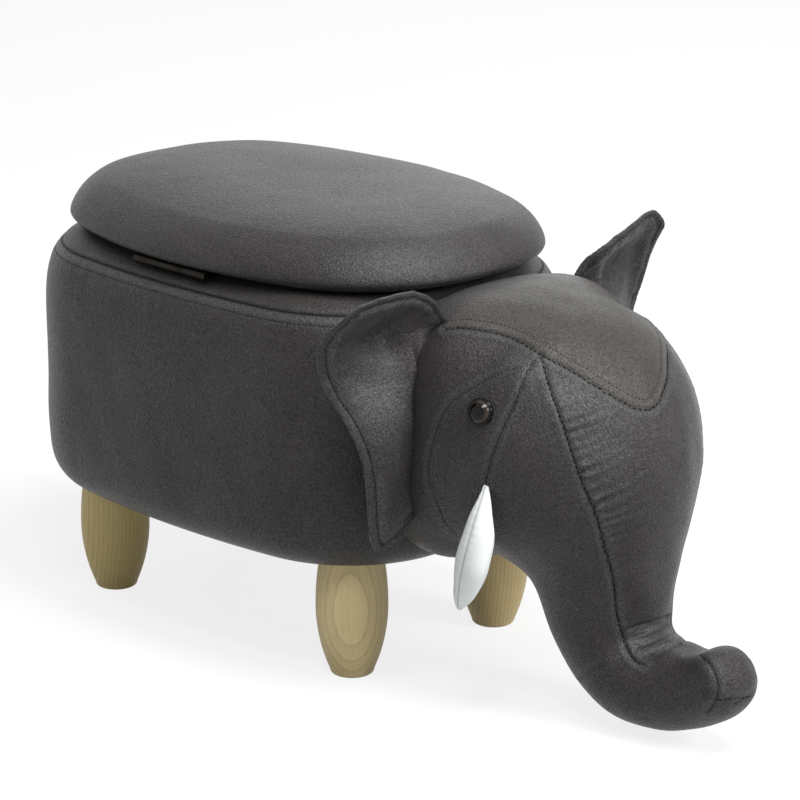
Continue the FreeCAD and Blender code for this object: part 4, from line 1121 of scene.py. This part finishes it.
def perked(points, side):
    """The left ear stands up and forward more than the right one."""
    out = (np.abs(points[:, 1]) - EAR_ROOT) / EAR_LENGTH
    level = points[:, 2]
    ahead = 0.0125 * fade(out, 0.62, 0.90) * (1 - fade(level, 0.306, 0.324))
    ahead -= 0.003 + 0.013 * fade(-out, 0.05, 0.40)
    higher = 0.0140 * fade(out, 0.0, 0.75) * fade(level, 0.262, 0.318)
    return points + max(side, 0) * np.column_stack([ahead, np.zeros(len(points)), higher])


for name, side in SIDES:
    points = np.vstack([ear_flat, root_pole, tip_pole])
    points, facing = mirrored(points, capped(EAR_ROWS, EAR_COUNT), side)
    ear = piece(
        f"{name}_ear", perked(points, side), facing, HIDE, "stool", "hide", seam=ear_seam, rubbed=ear_sheen_and_wear,
    )
    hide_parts(f"ear_{name}")
    hem = perked(inner_edge * (1, side, 1), side)
    lines = [hem + (0.004 * way, 0, 0) for way in (1, -1)]
    stitches(f"{name}_ear_stitches", lines, surface(ear), 0.00028)

# Tusks
TUSK_ROWS = 90
TUSK_COUNT = 64
tusk_table = np.array(TUSK_SHARES)
tusk_at = np.linspace(0, 1, TUSK_ROWS)
girth, bow = spline(tusk_table[:, 0], tusk_table[:, 1:], tusk_at).T
girth = np.maximum(girth, 0.10)
tusk_across = np.cross(LEFTWARD, TUSK_FALL)
tusk_across /= np.linalg.norm(tusk_across)
tusk_turn = np.linspace(0, math.tau, TUSK_COUNT, endpoint=False)
tusk_centre = TUSK_ROOT + TUSK_FALL * tusk_at[:, None] + np.outer(bow, TUSK_BOW)
half_wide = TUSK_WIDTH / 2 * girth
half_deep = TUSK_THICK / 2 * girth
tusk_grid = tusk_centre[:, None] + tusk_across * half_wide[:, None, None] * np.cos(tusk_turn)[None, :, None]
tusk_grid = tusk_grid + LEFTWARD * half_deep[:, None, None] * np.sin(tusk_turn)[None, :, None]
seam_turn = np.abs((tusk_turn - math.pi / 2 + math.pi) % math.tau - math.pi)
tusk_gap = (seam_turn[None] * half_wide[:, None]).ravel()
tusk_flat = tusk_grid.reshape(-1, 3)
tusk_out = (tusk_grid - tusk_centre[:, None]).reshape(-1, 3)
tusk_out /= np.linalg.norm(tusk_out, axis=1, keepdims=True)
tusk_pucker = np.sin(math.tau * np.repeat(tusk_at, TUSK_COUNT) * 17) * hill(tusk_gap - 0.003, 0.003)
tusk_dip = -0.0006 * hill(tusk_gap, 0.0011) + 0.00012 * tusk_pucker + 0.0003 * waves(tusk_flat, 0.03, 51)
tusk_flat = tusk_flat + tusk_out * tusk_dip[:, None]
tusk_seam = 0.55 * hill(tusk_gap, 0.0006)
tusk_poles = np.array([tusk_centre[0], tusk_centre[-1] + TUSK_FALL * 0.012])
tusk_line = (tusk_centre + LEFTWARD * half_deep[:, None])[6:-2]
for name, side in SIDES:
    points, facing = mirrored(np.vstack([tusk_flat, tusk_poles]), capped(TUSK_ROWS, TUSK_COUNT), side)
    tusk = piece(
        f"{name}_tusk", points, facing, TUSK_HIDE, "stool", "tusk_hide",
        seam=tusk_seam, rubbed=np.zeros(len(points)),
    )
    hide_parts(f"tusk_{name}")
    stitches(
        f"{name}_tusk_stitches", [tusk_line * (1, side, 1)], surface(tusk), 0.00024,
        pitch=0.0026, length=0.0018, material=PALE_THREAD, slot="tusk_hide",
    )

# Eyes: radius and lift of the outline, from the middle of the dome to the skin
EYE_PROFILE = [
    (0.0, 0.0078), (0.0022, 0.0076), (0.0042, 0.0070), (0.0060, 0.0060), (0.0074, 0.0046), (0.0082, 0.0033),
    (0.0085, 0.0026), (0.0088, 0.0028), (0.0093, 0.0029), (0.0098, 0.0025), (0.0100, 0.0017),
    (0.0100, 0.0004), (0.0096, -0.0006),
]
EYE_COUNT = 48
eye_profile = smooth_line(EYE_PROFILE, 0.0004)[1:]
eye_turns = np.linspace(0, math.tau, EYE_COUNT, endpoint=False)
eye_rim = fade(eye_profile[:, 0], 0.0052, 0.0078) * (1 - fade(eye_profile[:, 0], 0.0080, 0.0086))
for name, side in SIDES:
    spot = seen(head_tree, [EYE_PIXEL])[0] * (1, -side, 1)
    found, normal, *_ = head_tree.find_nearest(Vector(spot))
    found = np.array(found)
    normal = np.array(normal)
    along_x = np.cross(normal, [0, 0, 1])
    along_x /= np.linalg.norm(along_x)
    along_y = np.cross(normal, along_x)
    points = [
        found + normal * lift + radius * (along_x * math.cos(t) + along_y * math.sin(t))
        for radius, lift in eye_profile
        for t in eye_turns
    ]
    points += [found + normal * EYE_PROFILE[end][1] for end in (0, -1)]
    eye = piece(
        f"{name}_eye", points, capped(len(eye_profile), EYE_COUNT), EYE, "stool", "eye_plastic",
        rubbed=np.repeat(eye_rim, EYE_COUNT),
    )
    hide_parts(f"eye_{name}")

# Finishes of the solids that show
FINISHES = {
    BOARD: ("base_board", "wall_panel", "top_rim", "lid_board", "head_board"),
    STEEL: (
        "leg_bolts", "leg_t_nuts", "base_screws", "rim_screws", "head_bolts", "head_t_nuts", "eye_washers",
    ),
    SHADED_BRONZE: ("hinge_fixed_leaf", "hinge_lid_leaf", "hinge_pin", "hinge_fixed_screws", "hinge_lid_screws"),
}
# Where each leg's pith lies, and its pale and deep colour
LEGS = {
    "leg_front_right": ((-0.050, 0.050), (0.66, 0.540, 0.290), (0.60, 0.475, 0.243)),
    "leg_front_left": ((0.050, 0.042), (0.58, 0.465, 0.240), (0.52, 0.400, 0.195)),
    "leg_rear_right": ((0.046, 0.050), (0.66, 0.530, 0.235), (0.60, 0.465, 0.195)),
    "leg_rear_left": ((-0.050, 0.050), (0.58, 0.465, 0.240), (0.52, 0.400, 0.195)),
}
for name, grain in LEGS.items():
    low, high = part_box(name)
    FINISHES[wood(f"pine_{name}", (low + high) / 2, *grain)] = (name,)
for finish, names in FINISHES.items():
    for name in names:
        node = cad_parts[name]
        node.data.materials.clear()
        node.data.materials.append(finish)


# Floor, light and camera
WORLD_LIGHT = 0.23
FLOOR_SHOWN = 0.82


def camera_share(tree):
    """1 for what the camera sees straight, in a mirror or through glass, else 0."""
    path = tree.nodes.new("ShaderNodeLightPath")
    total = path.outputs["Is Camera Ray"]
    for name in ("Is Glossy Ray", "Is Transmission Ray"):
        pick = tree.nodes.new("ShaderNodeMath")
        pick.operation = "MAXIMUM"
        tree.links.new(total, pick.inputs[0])
        tree.links.new(path.outputs[name], pick.inputs[1])
        total = pick.outputs[0]
    return total


def white_stage():
    """A pale floor that keeps the shadow, and a white world behind it."""
    floor_mesh = bpy.data.meshes.new("floor")
    wide = 30.0
    corners = [(-wide, -wide, 0), (wide, -wide, 0), (wide, wide, 0), (-wide, wide, 0)]
    floor_mesh.from_pydata(corners, [], [(0, 1, 2, 3)])
    floor = bpy.data.objects.new("floor", floor_mesh)
    bpy.context.scene.collection.objects.link(floor)
    made = Shader("floor")
    shown = camera_share(made.tree)
    pale = made.ramp(made.noise(0.4), (0.3, 0.56), (0.7, 0.58))
    made.set(made.finish, {
        "Base Color": made.mix(shown, pale, (0.20, 0.20, 0.20)),
        "Roughness": 0.8,
        "Specular IOR Level": 0.0,
        "Emission Color": (1, 1, 1, 1),
        "Emission Strength": made.math("MULTIPLY", shown, FLOOR_SHOWN),
    })
    floor_mesh.materials.append(made.material)
    world = bpy.data.worlds.new("studio")
    bpy.context.scene.world = world
    world.use_nodes = True
    tree = world.node_tree
    shade = tree.nodes["Background"]
    level = tree.nodes.new("ShaderNodeMapRange")
    level.inputs["To Min"].default_value = WORLD_LIGHT
    level.inputs["To Max"].default_value = 1.0
    tree.links.new(camera_share(tree), level.inputs["Value"])
    tree.links.new(level.outputs["Result"], shade.inputs["Strength"])
    shade.inputs["Color"].default_value = (1, 1, 1, 1)


def lamp(name, place, aim, wide, power):
    """A round lamp that faces a point."""
    data = bpy.data.lights.new(name, "AREA")
    data.shape = "DISK"
    data.size = wide
    data.energy = power
    made = bpy.data.objects.new(name, data)
    bpy.context.scene.collection.objects.link(made)
    made.location = place
    made.rotation_euler = (Vector(aim) - Vector(place)).to_track_quat("-Z", "Y").to_euler()


white_stage()
AIM = (0.0, 0.0, 0.2)
lamp("overhead", (1.2, -0.1, 2.7), AIM, 1.2, 72.0)
lamp("key", (1.05, -1.15, 2.5), AIM, 0.6, 21.0)
lamp("right", (2.6, 0.7, 1.7), AIM, 1.1, 68.0)
lamp("back", (-1.5, 2.2, 1.5), AIM, 1.6, 10.0)

camera_data = bpy.data.cameras.new("camera")
camera_data.lens = LENS
camera_data.sensor_width = SENSOR
camera_data.clip_start = 0.05
camera = bpy.data.objects.new("camera", camera_data)
bpy.context.scene.collection.objects.link(camera)
camera.location = cam_place
camera.rotation_euler = Vector(-cam_back).to_track_quat("-Z", "Y").to_euler()
bpy.context.scene.camera = camera
bpy.context.scene.view_settings.view_transform = "Standard"
